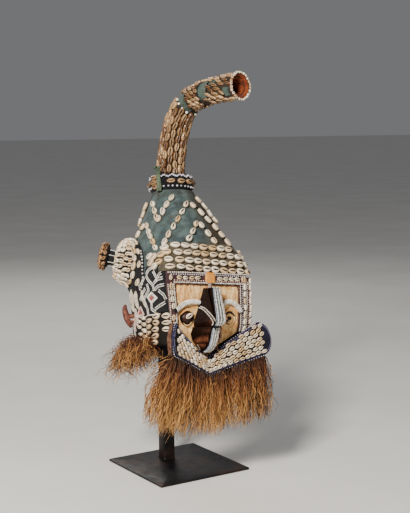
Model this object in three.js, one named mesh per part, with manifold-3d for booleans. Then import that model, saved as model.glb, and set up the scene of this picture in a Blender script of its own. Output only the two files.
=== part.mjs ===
// Cowrie-covered elephant-trunk helmet mask on its steel display stand.
//
// Millimetres, +Z up. The origin is the middle of the plate's underside. The mask
// faces -Y and its own left side is +X. Everything on the mask is laid out in the
// mask's own frame, which one group then leans back and rolls on the post.

import * as THREE from "three";
import { mergeVertices } from "three/addons/utils/BufferGeometryUtils.js";
import Module from "manifold-3d";

const wasm = await Module();
wasm.setup();

// Driving dimensions of the stand, the mask and their pose.
const PLATE = { size: 250, thickness: 5, corner: 3 };
const POST = { side: 30, y: 54, top: 648 };
const POSE = { x: -4.4, y: -19.7, z: 361.4, leanBack: 12.5, roll: 6.3 };
const GAP = 0.4;
const WALL = 6;

// The head's cross-sections: half width, sideways shift, depth in front and behind,
// squareness in front and behind, and shift towards the back.
const HEAD_STATIONS = [
  { z: -90, half: 106, shift: 6, front: 95, back: 112, squareFront: 5, squareBack: 2.3, aft: 0 },
  { z: -62, half: 110, shift: 6, front: 106, back: 116, squareFront: 5, squareBack: 2.3, aft: 0 },
  { z: -20, half: 116, shift: 6, front: 126, back: 116, squareFront: 7, squareBack: 2.3, aft: 0 },
  { z: 20, half: 118, shift: 5, front: 129, back: 114, squareFront: 8, squareBack: 2.3, aft: 0 },
  { z: 100, half: 118, shift: 1, front: 130, back: 112, squareFront: 9, squareBack: 2.3, aft: 0 },
  { z: 132, half: 116, shift: 0, front: 127, back: 110, squareFront: 6, squareBack: 2.3, aft: 0 },
  { z: 165, half: 110, shift: 0, front: 117, back: 105, squareFront: 4, squareBack: 2.2, aft: 1 },
  { z: 197, half: 101, shift: 0, front: 105, back: 98, squareFront: 3, squareBack: 2, aft: 3 },
  { z: 230, half: 89, shift: 0, front: 90, back: 88, squareFront: 2.4, squareBack: 2, aft: 6 },
  { z: 312, half: 50, shift: 0, front: 50, back: 50, squareFront: 2, squareBack: 2, aft: 20 },
];
const RIM_Z = -62;
const SEAM_Z = 104;
const CROWN_TOP_Z = 314;

const COWRIE = { length: 22.5, width: 14.5, height: 6.5 };
const FACE_X = -5;
const FRAME = { left: -109, right: 117, top: 103, bottom: -34, bandHeight: 27, depth: 7 };
// The column at the mask's right leans, so its two edges move outwards from low to high.
const COLUMN = { outer: [-104, -109], inner: [-89, -98] };
const PANEL = { right: 78, top: 75.5, cheek: -34, chin: -84, depth: 4 };
const FOREHEAD = { low: 105, rows: 4, pitch: 17, spread: 52, perRow: 11 };

// The trunk runs in one upright plane, turned a little towards the mask's left.
const TRUNK = { turn: 12, y: 20, core: 26.5, mouthRadius: 22, mouthDepth: 46, sides: 12, rowPitch: 20 };
const TRUNK_PATH = [
  [-3, 314.6],
  [-4, 370],
  [3, 419],
  [15, 461],
  [37, 502],
  [69, 527.5],
  [120, 537],
  [169, 536.5],
  [226, 533],
];
const COLLAR = { low: 314.8, height: 40, bore: 30, radius: 51, bulge: 54, shells: 14 };

const BUN = { azimuth: 57, lift: 13.3, z: 118, root: 58, reach: 149, neckEnd: 165, knobEnd: 190 };

// Helpers that place points on the head and build closed solids.
const rad = THREE.MathUtils.degToRad;
const lerp = THREE.MathUtils.lerp;
const vec = (x, y, z) => new THREE.Vector3(x, y, z);

function stationAt(z) {
  const last = HEAD_STATIONS.length - 1;
  let i = HEAD_STATIONS.findIndex((s) => s.z > z);
  if (i < 0) i = last;
  const high = HEAD_STATIONS[Math.max(i, 1)];
  const low = HEAD_STATIONS[Math.max(i, 1) - 1];
  const t = (z - low.z) / (high.z - low.z);
  const at = {};
  for (const key of Object.keys(high)) at[key] = lerp(low[key], high[key], t);
  return at;
}

// A point on the head, at an angle from straight ahead (positive to the mask's left).
function headPoint(angle, z, offset = 0) {
  const s = stationAt(z);
  const across = Math.sin(angle);
  const ahead = Math.cos(angle);
  const depth = (ahead > 0 ? s.front : s.back) + offset;
  const square = ahead > 0 ? s.squareFront : s.squareBack;
  const term = (Math.abs(across) / (s.half + offset)) ** square + (Math.abs(ahead) / depth) ** square;
  const r = term ** (-1 / square);
  return vec(s.shift + r * across, s.aft - r * ahead, z);
}

// A point on the front of the head, by its sideways position.
function frontPoint(x, z, offset = 0) {
  const s = stationAt(z);
  const u = Math.min(Math.abs(x - s.shift) / (s.half + offset), 0.995);
  return vec(x, s.aft - (s.front + offset) * (1 - u ** s.squareFront) ** (1 / s.squareFront), z);
}

function toSolid(geometry) {
  const bare = geometry.clone();
  for (const name of ["normal", "uv"]) if (bare.getAttribute(name)) bare.deleteAttribute(name);
  const merged = mergeVertices(bare, 1e-4);
  const solid = new wasm.Manifold(
    new wasm.Mesh({
      numProp: 3,
      vertProperties: new Float32Array(merged.attributes.position.array),
      triVerts: new Uint32Array(merged.index.array),
    }),
  );
  return solid;
}

function toGeometry(solid) {
  const mesh = solid.getMesh();
  const position = new Float32Array(mesh.numVert * 3);
  for (let i = 0; i < mesh.numVert; i++) {
    for (let k = 0; k < 3; k++) position[3 * i + k] = mesh.vertProperties[i * mesh.numProp + k];
  }
  const geometry = new THREE.BufferGeometry();
  geometry.setAttribute("position", new THREE.BufferAttribute(position, 3));
  geometry.setIndex(new THREE.BufferAttribute(new Uint32Array(mesh.triVerts), 1));
  geometry.computeVertexNormals();
  return geometry;
}

function fuse(...geometries) {
  return toGeometry(geometries.flat().map(toSolid).reduce((a, b) => a.add(b)));
}

// Cuts the others away and keeps the main body, without any sliver that the cut leaves.
function cut(geometry, ...cutters) {
  const left = cutters.flat().map(toSolid).reduce((a, b) => a.subtract(b), toSolid(geometry));
  const bodies = left.decompose().sort((a, b) => b.volume() - a.volume());
  return toGeometry(bodies[0]);
}

// A closed geometry from a vertex list and triangles, turned to face outwards.
function closed(points, faces) {
  let volume = 0;
  for (const [a, b, c] of faces) {
    volume += points[a].dot(vec(0, 0, 0).crossVectors(points[b], points[c]));
  }
  const index = volume < 0 ? faces.map(([a, b, c]) => [a, c, b]) : faces;
  const geometry = new THREE.BufferGeometry();
  const position = points.flatMap((p) => p.toArray());
  geometry.setAttribute("position", new THREE.Float32BufferAttribute(position, 3));
  geometry.setIndex(index.flat());
  geometry.computeVertexNormals();
  return geometry;
}

// Adds one cell of a surface. A cell that carries a cowrie becomes a hipped dome, whose
// ridge runs the way of the cell's first edge.
function addCell(points, faces, [a, b, c, d], outward, height) {
  if (!height) {
    faces.push([a, b, c], [a, c, d]);
    return;
  }
  const start = points[a].clone().lerp(points[d], 0.5);
  const end = points[b].clone().lerp(points[c], 0.5);
  const rise = points[d].clone().sub(points[a]);
  const out = vec(0, 0, 0).crossVectors(end.clone().sub(start), rise).normalize();
  if (out.dot(outward) < 0) out.negate();
  const near = points.push(start.clone().lerp(end, 0.3).addScaledVector(out, height)) - 1;
  const far = points.push(start.clone().lerp(end, 0.7).addScaledVector(out, height)) - 1;
  faces.push([a, b, far], [a, far, near], [c, d, near], [c, near, far], [b, c, far], [d, a, near]);
}

// A slab between two surfaces over u and v in 0..1. With wrap, u runs all the way round.
// relief(i, j) gives the height of the cowrie in a cell of the outer surface.
function slab({ outer, inner, columns, rows, wrap = false, relief = () => 0 }) {
  const across = wrap ? columns : columns + 1;
  const points = [];
  for (const surface of [outer, inner]) {
    for (let j = 0; j <= rows; j++) {
      for (let i = 0; i < across; i++) points.push(surface(i / columns, j / rows));
    }
  }
  const skin = across * (rows + 1);
  const at = (side, i, j) => side * skin + j * across + (i % across);
  const faces = [];
  const quad = (a, b, c, d) => faces.push([a, b, c], [a, c, d]);
  for (let j = 0; j < rows; j++) {
    for (let i = 0; i < columns; i++) {
      const corners = [at(0, i, j), at(0, i + 1, j), at(0, i + 1, j + 1), at(0, i, j + 1)];
      const outward = points[corners[0]].clone().sub(points[at(1, i, j)]);
      addCell(points, faces, corners, outward, relief(i, j));
      quad(at(1, i, j), at(1, i, j + 1), at(1, i + 1, j + 1), at(1, i + 1, j));
    }
  }
  for (let i = 0; i < columns; i++) {
    quad(at(1, i, 0), at(1, i + 1, 0), at(0, i + 1, 0), at(0, i, 0));
    quad(at(0, i, rows), at(0, i + 1, rows), at(1, i + 1, rows), at(1, i, rows));
  }
  if (!wrap) {
    for (let j = 0; j < rows; j++) {
      quad(at(1, 0, j), at(0, 0, j), at(0, 0, j + 1), at(1, 0, j + 1));
      quad(at(0, columns, j), at(1, columns, j), at(1, columns, j + 1), at(0, columns, j + 1));
    }
  }
  return closed(points, faces);
}

// A lathe profile swept along a curve: each entry is a distance along it and a radius,
// and the way the cowries lie on the stretch after it, if it carries any.
function sweep(placeAt, profile, sides) {
  const points = [];
  const faces = [];
  const centres = [];
  const rings = profile.map(([along, radius]) => {
    const { centre, side, up } = placeAt(along);
    centres.push(centre);
    if (radius === 0) {
      points.push(centre.clone());
      return [points.length - 1];
    }
    const ring = [];
    for (let k = 0; k < sides; k++) {
      const a = (2 * Math.PI * k) / sides;
      const p = centre.clone().addScaledVector(side, radius * Math.cos(a));
      ring.push(points.push(p.addScaledVector(up, radius * Math.sin(a))) - 1);
    }
    return ring;
  });
  for (let r = 0; r + 1 < rings.length; r++) {
    const [low, high] = [rings[r], rings[r + 1]];
    const lay = profile[r][2];
    for (let k = 0; k < sides; k++) {
      const n = (k + 1) % sides;
      const outward = points[low[k % low.length]].clone().sub(centres[r]);
      if (low.length === 1) faces.push([low[0], high[n], high[k]]);
      else if (high.length === 1) faces.push([low[k], low[n], high[0]]);
      else {
        const level = [low[k], low[n], high[n], high[k]];
        const upright = [low[n], high[n], high[k], low[k]];
        addCell(points, faces, lay === "along" ? upright : level, outward, lay ? COWRIE.height : 0);
      }
    }
  }
  return closed(points, faces);
}

// One cowrie as a four-sided dome whose long axis lies along `along` on a surface facing `out`.
function cowrie(centre, out, along) {
  const z = out.clone().normalize();
  const x = along.clone().addScaledVector(z, -along.dot(z)).normalize();
  const y = vec(0, 0, 0).crossVectors(z, x);
  const corner = (a, b, c) =>
    centre
      .clone()
      .addScaledVector(x, (a * COWRIE.length) / 2)
      .addScaledVector(y, (b * COWRIE.width) / 2)
      .addScaledVector(z, c * COWRIE.height);
  const points = [corner(1, 0, -0.2), corner(0, 1, -0.2), corner(-1, 0, -0.2), corner(0, -1, -0.2)];
  points.push(corner(0, 0, 1), corner(0, 0, -0.6));
  const faces = steps(4, (i) => [
    [i, (i + 1) % 4, 4],
    [(i + 1) % 4, i, 5],
  ]).flat();
  return closed(points, faces);
}

// Outward direction of the head's surface, by small steps round and up it.
function headOut(angle, z) {
  const round = headPoint(angle + 0.02, z).sub(headPoint(angle - 0.02, z));
  const rise = headPoint(angle, z + 2).sub(headPoint(angle, z - 2));
  return vec(0, 0, 0).crossVectors(round, rise).normalize();
}

// Calls make(i, share) for each of count steps, where share runs from 0 to 1.
const steps = (count, make) =>
  Array.from({ length: count }, (_, i) => make(i, count > 1 ? i / (count - 1) : 0));

const root = new THREE.Group();
const mask = new THREE.Group();
mask.position.set(POSE.x, POSE.y, POSE.z);
mask.rotation.set(-rad(POSE.leanBack), rad(POSE.roll), 0, "YXZ");
root.add(mask);
mask.updateMatrixWorld(true);
const downInMask = vec(0, 0, -1).applyQuaternion(mask.quaternion.clone().invert());

const finish = (color, roughness, metalness = 0) =>
  new THREE.MeshStandardMaterial({ color, roughness, metalness });
const STEEL = finish(0x1c1a1a, 0.55, 0.8);
const CLOTH = finish(0x6f8583, 0.9);
const DARK_CLOTH = finish(0x27303c, 0.9);
const COWRIE_WHITE = finish(0xd9cbb2, 0.45);
const HIDE = finish(0xc98f55, 0.75);
const DARK_WOOD = finish(0x2c1a12, 0.6);
const RED_WOOD = finish(0x7d4226, 0.6);
const BEADS = finish(0xb9bdc2, 0.5);
const RAFFIA = finish(0xa8692c, 0.95);
const LINING = finish(0xa8502a, 0.85);

function place(name, geometry, material, parent = mask) {
  const mesh = new THREE.Mesh(geometry, material);
  mesh.name = name;
  parent.add(mesh);
  return mesh;
}

// The display stand: a welded plate and a square post that the crown rests on.
const square = (side, corner) => {
  const h = side / 2;
  const shape = new THREE.Shape();
  shape.moveTo(-h + corner, -h).lineTo(h - corner, -h).lineTo(h, -h + corner).lineTo(h, h - corner);
  shape.lineTo(h - corner, h).lineTo(-h + corner, h).lineTo(-h, h - corner).lineTo(-h, -h + corner);
  shape.closePath();
  return shape;
};
const plate = new THREE.ExtrudeGeometry(square(PLATE.size, PLATE.corner), {
  depth: PLATE.thickness,
  bevelEnabled: false,
});
place("base_plate", plate, STEEL, root);
const postHeight = POST.top - PLATE.thickness - GAP;
const post = new THREE.BoxGeometry(POST.side, POST.side, postHeight);
place("stand_post", post, STEEL, root).position.set(0, POST.y, PLATE.thickness + GAP + postHeight / 2);

// The helmet's wall and the cone of the crown.
const ROUND = 32;
const HEAD_LEVELS = [-92, RIM_Z, -20, 20, SEAM_Z, 132, 165, 197, 230, CROWN_TOP_Z];
const levelsBetween = (low, high) => HEAD_LEVELS.filter((z) => z >= low && z <= high);

// A ring of the head's wall between two of its levels, so that all its copies share facets.
function headRing(low, high, outer, inner) {
  const levels = levelsBetween(low, high);
  const rows = levels.length - 1;
  const skin = (offset) => (u, v) => headPoint(2 * Math.PI * u, levels[Math.round(v * rows)], offset);
  return slab({ outer: skin(outer), inner: skin(inner), columns: ROUND, rows, wrap: true });
}
// The head's bulk, grown by the gap that its neighbours keep.
const HEAD_BULK = headRing(-92, 230, GAP, -40);

place("helmet_shell", headRing(RIM_Z, SEAM_Z, 0, -WALL), DARK_CLOTH);

// The crown is a hollow cone with a closed top, open into the helmet below.
function crownShell() {
  const levels = [SEAM_Z + GAP, ...levelsBetween(132, CROWN_TOP_Z)];
  const outer = levels.map((z) => [z, 0]);
  const inner = levels.map((z) => [Math.min(z, CROWN_TOP_Z - WALL), -WALL]).reverse();
  const points = [];
  const rings = [...outer, ...inner].map(([z, offset]) =>
    steps(ROUND, (i) => points.push(headPoint((2 * Math.PI * i) / ROUND, z, offset)) - 1),
  );
  const faces = [];
  for (let r = 0; r < rings.length; r++) {
    if (r === outer.length - 1) continue;
    const [a, b] = [rings[r], rings[(r + 1) % rings.length]];
    for (let i = 0; i < ROUND; i++) {
      const n = (i + 1) % ROUND;
      faces.push([a[i], a[n], b[n]], [a[i], b[n], b[i]]);
    }
  }
  const { aft } = stationAt(CROWN_TOP_Z);
  const top = points.push(vec(0, aft, CROWN_TOP_Z)) - 1;
  const under = points.push(vec(0, aft, CROWN_TOP_Z - WALL)) - 1;
  const [topRing, underRing] = [rings[outer.length - 1], rings[outer.length]];
  for (let i = 0; i < ROUND; i++) {
    const n = (i + 1) % ROUND;
    faces.push([topRing[i], topRing[n], top], [underRing[n], underRing[i], under]);
  }
  return closed(points, faces);
}

// Hair buns stand out from the back corners of the head, each ending in a knob on a neck.
function bunFrame(sign) {
  const azimuth = rad(BUN.azimuth);
  const lift = Math.tan(rad(BUN.lift));
  const way = vec(sign * Math.sin(azimuth), Math.cos(azimuth), lift);
  const along = way.clone().normalize();
  const side = vec(0, 0, 0).crossVectors(along, vec(0, 0, 1)).normalize();
  const up = vec(0, 0, 0).crossVectors(side, along);
  const centreAt = (reach) => vec(0, 0, BUN.z).addScaledVector(way, reach);
  return { along, side, up, placeAt: (reach) => ({ centre: centreAt(reach), side, up }) };
}
const underBun = (p) =>
  [-1, 1].some((sign) => {
    const { along, placeAt } = bunFrame(sign);
    const away = p.clone().sub(placeAt(0).centre);
    return away.dot(along) > 0 && away.addScaledVector(along, -away.dot(along)).length() < BUN.root + 14;
  });

// Cowries in a straight line between two places on the head, set along the line.
function cowrieLine([degrees0, z0], [degrees1, z1], count) {
  const from = headPoint(rad(degrees0), z0);
  const to = headPoint(rad(degrees1), z1);
  return steps(count, (i, t) => {
    const z = lerp(z0, z1, t);
    const spot = from.clone().lerp(to, t);
    const angle = Math.atan2(spot.x, stationAt(z).aft - spot.y);
    const seat = headPoint(angle, z);
    return underBun(seat) ? [] : cowrie(seat, headOut(angle, z), to.clone().sub(from));
  }).flat();
}

// Zigzag rings of cowries: one long zigzag, with a small chevron nested in every bend.
// Each line is given by its two ends, in degrees from straight ahead and height, and its count.
const CROWN_LINES = [
  [[-11, 270.5], [-42, 191], 5],
  [[4, 270.5], [31, 191], 5],
  [[-6.5, 219], [-18.5, 189], 3],
  [[2.5, 219], [12, 189], 3],
  [[-38, 288], [-58, 237], 3],
  [[-80, 277], [-66, 241], 3],
  [[-80, 221], [-60.5, 180], 4],
  [[-92, 223], [-108, 188], 3],
  [[30, 288], [49, 237], 3],
  [[73, 277], [58, 241], 3],
  [[76, 221], [60, 182], 4],
  [[90, 223], [108, 188], 3],
  [[172, 270], [137, 190], 5],
  [[188, 270], [223, 190], 5],
  [[176, 219], [162, 187], 3],
  [[184, 219], [198, 187], 3],
  [[150, 286], [131, 240], 3],
  [[112, 277], [124, 243], 3],
  [[210, 286], [229, 240], 3],
  [[248, 277], [236, 243], 3],
];
const crownCowries = CROWN_LINES.flatMap((line) => cowrieLine(...line));
place("crown_cone", fuse(crownShell(), crownCowries), CLOTH);

// Four level rows of cowries on a cloth band across the forehead.
const foreheadHigh = FOREHEAD.low + FOREHEAD.rows * FOREHEAD.pitch;
const bandSkin = (low, high, fromDegrees, toDegrees, offset) => (u, v) =>
  headPoint(rad(lerp(fromDegrees, toDegrees, u)), lerp(low, high, v), offset);
const foreheadBand = slab({
  outer: bandSkin(FOREHEAD.low, foreheadHigh, -FOREHEAD.spread, FOREHEAD.spread, 2.4),
  inner: bandSkin(FOREHEAD.low, foreheadHigh, -FOREHEAD.spread, FOREHEAD.spread, -3),
  columns: FOREHEAD.perRow,
  rows: FOREHEAD.rows,
  relief: () => COWRIE.height,
});
// The band lies over the crown, so its underside is trimmed to the crown's real facets.
place("forehead_cowries", cut(foreheadBand, HEAD_BULK), COWRIE_WHITE);

// The front of the face: beaded frame, hide panel, nose, mouth, eyes and brows.
// A bar's edge is one sideways place, or two where it leans: at its lower and its upper end.
const edgeAt = (x, v) => (Array.isArray(x) ? lerp(x[0], x[1], v) : x);
const frontSkin = (x0, x1, z0, z1, offset) => (u, v) =>
  frontPoint(lerp(edgeAt(x0, v), edgeAt(x1, v), u), lerp(z0, z1, v), offset);
const UNDERLAY = 1.3;
const frontBar = (x0, x1, z0, z1, depth, columns, rows) =>
  slab({
    outer: frontSkin(x0, x1, z0, z1, depth),
    inner: frontSkin(x0, x1, z0, z1, UNDERLAY),
    columns,
    rows,
  });
const bandLow = FRAME.top - FRAME.bandHeight;
function frameGeometry(grow) {
  const depth = FRAME.depth + grow;
  const [left, right] = [FRAME.left - grow, FRAME.right + grow];
  const outer = COLUMN.outer.map((x) => x - grow);
  const inner = COLUMN.inner.map((x) => x - GAP + grow);
  const innerRight = PANEL.right + GAP - grow;
  return fuse(
    frontBar(left, right, bandLow - grow, FRAME.top, depth, 16, 1),
    frontBar(outer, inner, FRAME.bottom - grow, bandLow + 1, depth, 2, 4),
    frontBar(innerRight, right, FRAME.bottom - grow, bandLow + 1, depth, 5, 4),
  );
}
place("face_frame", cut(frameGeometry(0), HEAD_BULK), BEADS);
const FRAME_BULK = frameGeometry(GAP);

const panelLow = (x) => lerp(PANEL.chin, PANEL.cheek, Math.min(1, Math.abs(x - FACE_X) / 80));
const panelSkin = (offset) => (u, v) => {
  const x = lerp(edgeAt(COLUMN.inner, v), PANEL.right, u);
  return frontPoint(x, lerp(panelLow(x), PANEL.top, v), offset);
};
const panelGeometry = (offset) =>
  slab({ outer: panelSkin(offset), inner: panelSkin(UNDERLAY), columns: 12, rows: 5 });
place("face_panel", cut(panelGeometry(PANEL.depth), HEAD_BULK), HIDE);
const PANEL_BULK = fuse(panelGeometry(PANEL.depth + GAP), HEAD_BULK);

const PATCH = { half: 12, low: 78, high: 102, proud: 3 };
const patch = frontBar(
  FACE_X - PATCH.half,
  FACE_X + PATCH.half,
  PATCH.low,
  PATCH.high,
  FRAME.depth + PATCH.proud,
  2,
  1,
);
place("forehead_patch", cut(patch, FRAME_BULK), HIDE);

// A wedge on the face panel. Its stations hold height, half width on the mask's left, ridge
// depth and half width on the mask's right, where the flank spreads wider over the cheek.
function wedge(stations, ridgeHalf) {
  const at = (z) => {
    let i = stations.findIndex((s) => s[0] <= z);
    if (i < 1) i = 1;
    const [below, above] = [stations[i - 1], stations[i]];
    const t = (z - below[0]) / (above[0] - below[0]);
    return below.slice(1).map((value, k) => lerp(value, above[k + 1], t));
  };
  const rows = 2 * (stations.length - 1);
  const levels = steps(rows + 1, (j) => {
    const [a, b] = [stations[Math.floor(j / 2)], stations[Math.ceil(j / 2)]];
    return (a[0] + b[0]) / 2;
  }).reverse();
  const base = (x, z) => frontPoint(x, z, 0).y;
  const outer = (u, v) => {
    const z = levels[Math.round(v * rows)];
    const [left, ridge, right] = at(z);
    const k = Math.round(u * 5);
    const share = [0.1, 0.4, 1, 1, 0.5, 0.1][k];
    const x = FACE_X + [-right, -0.55 * right, -ridgeHalf, ridgeHalf, 0.55 * left, left][k];
    return vec(x, lerp(base(x, z) - PANEL.depth, ridge, share), z);
  };
  const inner = (u, v) => {
    const { x, z } = outer(u, v);
    return vec(x, base(x, z), z);
  };
  return cut(slab({ outer, inner, columns: 5, rows }), PANEL_BULK);
}
const NOSE = [
  [66, 12, -160, 18],
  [49, 19, -164, 23],
  [21, 29, -168, 34],
  [-14, 33, -171, 44],
  [-22, 31, -158, 44],
];
const MOUTH = [
  [-22.6, 33, -147, 45],
  [-38, 37, -144, 45],
  [-56, 28, -138, 30],
  [-80, 8, -123, 8],
];
place("nose", wedge(NOSE, 5.5), DARK_WOOD);
place("mouth", wedge(MOUTH, 4.5), RED_WOOD);

// A bead strip along a ridge, a little wider than the ridge it lies on.
function ridgeStrip(stations, halfWidth, lift, thick) {
  const skin = (offset) => (u, v) => {
    const k = v * (stations.length - 1);
    const i = Math.min(Math.floor(k), stations.length - 2);
    const z = lerp(stations[i][0], stations[i + 1][0], k - i);
    const y = lerp(stations[i][1], stations[i + 1][1], k - i);
    const w = lerp(halfWidth[0], halfWidth[1], v);
    return vec(FACE_X + lerp(-w, w, u), y - offset, z);
  };
  return slab({ outer: skin(lift + thick), inner: skin(lift), columns: 3, rows: stations.length - 1 });
}
const ridgeOf = (stations) => stations.map(([z, , ridge]) => [z, ridge]);
place("nose_bead_strip", ridgeStrip(ridgeOf(NOSE.slice(0, 4)), [6, 9], GAP + 0.4, 3.5), BEADS);
place("mouth_bead_strip", ridgeStrip(ridgeOf(MOUTH), [8, 5], GAP + 0.4, 3.5), BEADS);

// Eyes: a rimmed disc with a domed ball in it.
const EYE = { radius: 18, rimWidth: 4, depth: 11, stretch: 1.12, z: -4 };
const EYE_X = { right_eye: -69, left_eye: 47.5 };
function eyeGeometry() {
  const r = EYE.radius;
  const profile = [
    [0, -4],
    [r, -4],
    [r, 4.5],
    [r - EYE.rimWidth, 5.5],
    [r - EYE.rimWidth - 1.5, 4],
    [r * 0.55, EYE.depth - 2.5],
    [r * 0.25, EYE.depth],
    [0, EYE.depth + 0.3],
  ];
  const geometry = new THREE.LatheGeometry(profile.map(([a, b]) => new THREE.Vector2(a, b)), 12);
  return geometry.rotateX(Math.PI).scale(1, 1, EYE.stretch);
}
for (const [name, x] of Object.entries(EYE_X)) {
  const seat = frontPoint(x, EYE.z, PANEL.depth + GAP);
  place(name, cut(eyeGeometry().translate(seat.x, seat.y, seat.z), PANEL_BULK), DARK_WOOD);
}

// Brows: beaded rolls that arch over the eyes.
const BROWS = {
  right_brow: [
    [-97, 15],
    [-90, 23],
    [-75, 33],
    [-56, 36.5],
    [-38, 34],
  ],
  left_brow: [
    [27, 31],
    [42, 35],
    [58, 33],
    [72, 23],
    [80, 12],
  ],
};
const ROLL = 5.6;
for (const [name, knots] of Object.entries(BROWS)) {
  const curve = new THREE.CatmullRomCurve3(
    knots.map(([x, z]) => {
      const onFrame = x < COLUMN.inner[0] - 1 || x > PANEL.right - 4;
      return vec(x, frontPoint(x, z, (onFrame ? FRAME.depth : PANEL.depth) + ROLL + 0.7).y, z);
    }),
  );
  const circle = new THREE.Shape().absarc(0, 0, ROLL, 0, 2 * Math.PI);
  const roll = new THREE.ExtrudeGeometry(circle, { steps: 9, curveSegments: 4, extrudePath: curve });
  place(name, cut(roll, PANEL_BULK, FRAME_BULK), BEADS);
}

// The sides: beaded panels, cheek cowries, ears and hair buns.
const SIDE = { from: 50, to: 96, low: 12, high: 103, thick: 3.2 };
const CHEEK = { from: 49, to: 92, low: -60, high: 11, rows: 4, columns: 4 };
const EAR = { degrees: 105, z: 12, thickness: 14 };

function sidePanel(sign) {
  const skin = (offset) => bandSkin(SIDE.low, SIDE.high, sign * SIDE.from, sign * SIDE.to, offset);
  return slab({ outer: skin(SIDE.thick), inner: skin(UNDERLAY), columns: 9, rows: 3 });
}

function cheekCowries(sign) {
  const skin = (offset) => bandSkin(CHEEK.low, CHEEK.high, sign * CHEEK.from, sign * CHEEK.to, offset);
  const { columns, rows } = CHEEK;
  return slab({ outer: skin(2.8), inner: skin(UNDERLAY), columns, rows, relief: () => COWRIE.height });
}

// The ear is a thin carved crescent, standing off the head on two short prongs.
function earGeometry(sign) {
  const angle = sign * rad(EAR.degrees);
  const wall = headPoint(angle, EAR.z);
  const out = vec(Math.sin(angle), -Math.cos(angle), 0);
  const crescent = new THREE.Shape();
  crescent.moveTo(22, 29);
  crescent.quadraticCurveTo(34, 14, 26, -6);
  crescent.quadraticCurveTo(20, -24, 9, -28);
  crescent.quadraticCurveTo(13, -14, 18, -4);
  crescent.quadraticCurveTo(24, 14, 22, 29);
  const prong = (z, reach) => {
    const bar = new THREE.Shape();
    bar.moveTo(1.2, z - 2).lineTo(reach, z - 2).lineTo(reach, z + 2).lineTo(1.2, z + 2).closePath();
    return bar;
  };
  const settings = { depth: EAR.thickness, bevelEnabled: false, curveSegments: 4 };
  const bars = { depth: 5, bevelEnabled: false };
  const parts = [new THREE.ExtrudeGeometry(crescent, settings).translate(0, 0, -EAR.thickness / 2)];
  parts.push(new THREE.ExtrudeGeometry(prong(-1, 21), bars).translate(0, 0, -2.5));
  parts.push(new THREE.ExtrudeGeometry(prong(-13, 18), bars).translate(0, 0, -2.5));
  const up = vec(0, 0, 1);
  const basis = new THREE.Matrix4().makeBasis(out, up, vec(0, 0, 0).crossVectors(out, up));
  basis.setPosition(wall);
  const ear = fuse(parts).applyMatrix4(basis);
  return cut(ear, HEAD_BULK);
}

function bunGeometry(sign) {
  const { placeAt } = bunFrame(sign);
  const core = [
    [62, 0],
    [62, 54],
    [98, 55, "round"],
    [112, 55, "round"],
    [126, 52, "round"],
    [139, 45, "along"],
    [BUN.reach - 1, 33],
    [BUN.reach - 1, 0],
  ];
  const body = sweep(placeAt, core, 14);
  return cut(body, HEAD_BULK);
}

for (const [prefix, sign] of [
  ["right", -1],
  ["left", 1],
]) {
  place(prefix + "_side_panel", cut(sidePanel(sign), HEAD_BULK, FRAME_BULK), DARK_CLOTH);
  place(prefix + "_cheek_cowries", cut(cheekCowries(sign), HEAD_BULK, FRAME_BULK), COWRIE_WHITE);
  place(prefix + "_ear", earGeometry(sign), RED_WOOD);
  place(prefix + "_bun", bunGeometry(sign), COWRIE_WHITE);
  const { placeAt } = bunFrame(sign);
  const neck = [
    [BUN.reach - 0.5, 0],
    [BUN.reach - 0.5, 20],
    [BUN.neckEnd, 18],
    [BUN.neckEnd, 0],
  ];
  place(prefix + "_bun_neck", sweep(placeAt, neck, 12), DARK_CLOTH);
  const knob = [
    [BUN.neckEnd + GAP, 0],
    [BUN.neckEnd + GAP, 26],
    [BUN.neckEnd + 6, 34],
    [BUN.knobEnd - 7, 34],
    [BUN.knobEnd, 24],
    [BUN.knobEnd, 0],
  ];
  place(prefix + "_bun_knob", sweep(placeAt, knob, 14), COWRIE_WHITE);
}

// The trunk, its lined mouth and the ring round it.
const forward = vec(Math.sin(rad(TRUNK.turn)), -Math.cos(rad(TRUNK.turn)), 0);
const trunkSide = vec(Math.cos(rad(TRUNK.turn)), Math.sin(rad(TRUNK.turn)), 0);
const trunkCurve = new THREE.CatmullRomCurve3(
  TRUNK_PATH.map(([reach, z]) => vec(0, TRUNK.y, z).addScaledVector(forward, reach)),
);
trunkCurve.arcLengthDivisions = 400;
const trunkLength = trunkCurve.getLength();
const trunkAt = (t) => {
  const along = trunkCurve.getTangentAt(t).normalize();
  const up = vec(0, 0, 0).crossVectors(trunkSide, along);
  return { centre: trunkCurve.getPointAt(t), side: trunkSide, up };
};
// The trunk's cloth radius swells a little at both ends.
const trunkRadius = (t) => TRUNK.core + 1.5 * (2 * t - 1) ** 2;

// Places measured along the trunk's axis from the middle of its mouth.
const tipPlace = (along) => {
  const tip = trunkAt(1);
  return { ...tip, centre: tip.centre.clone().addScaledVector(trunkCurve.getTangentAt(1), along) };
};

function trunkGeometry() {
  const pitch = TRUNK.rowPitch / trunkLength;
  const profile = [[0, 0]];
  // The lower half is closely covered; above it short cowrie bands alternate with bare cloth.
  for (let row = 0; row <= Math.round(1 / pitch); row++) {
    const t = Math.min(row * pitch, 1);
    const covered = row > 1 && (t < 0.48 || row % 3 > 0) && t < 0.97;
    profile.push([t, trunkRadius(t), covered ? "along" : undefined]);
  }
  profile[profile.length - 1] = [1, trunkRadius(1)];
  const body = sweep(trunkAt, [...profile, [1, 0]], TRUNK.sides);
  const mouth = sweep(
    tipPlace,
    [
      [-TRUNK.mouthDepth, 0],
      [-TRUNK.mouthDepth, TRUNK.mouthRadius],
      [4, TRUNK.mouthRadius],
      [4, 0],
    ],
    TRUNK.sides,
  );
  return cut(body, mouth);
}
place("trunk", trunkGeometry(), CLOTH);

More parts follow.
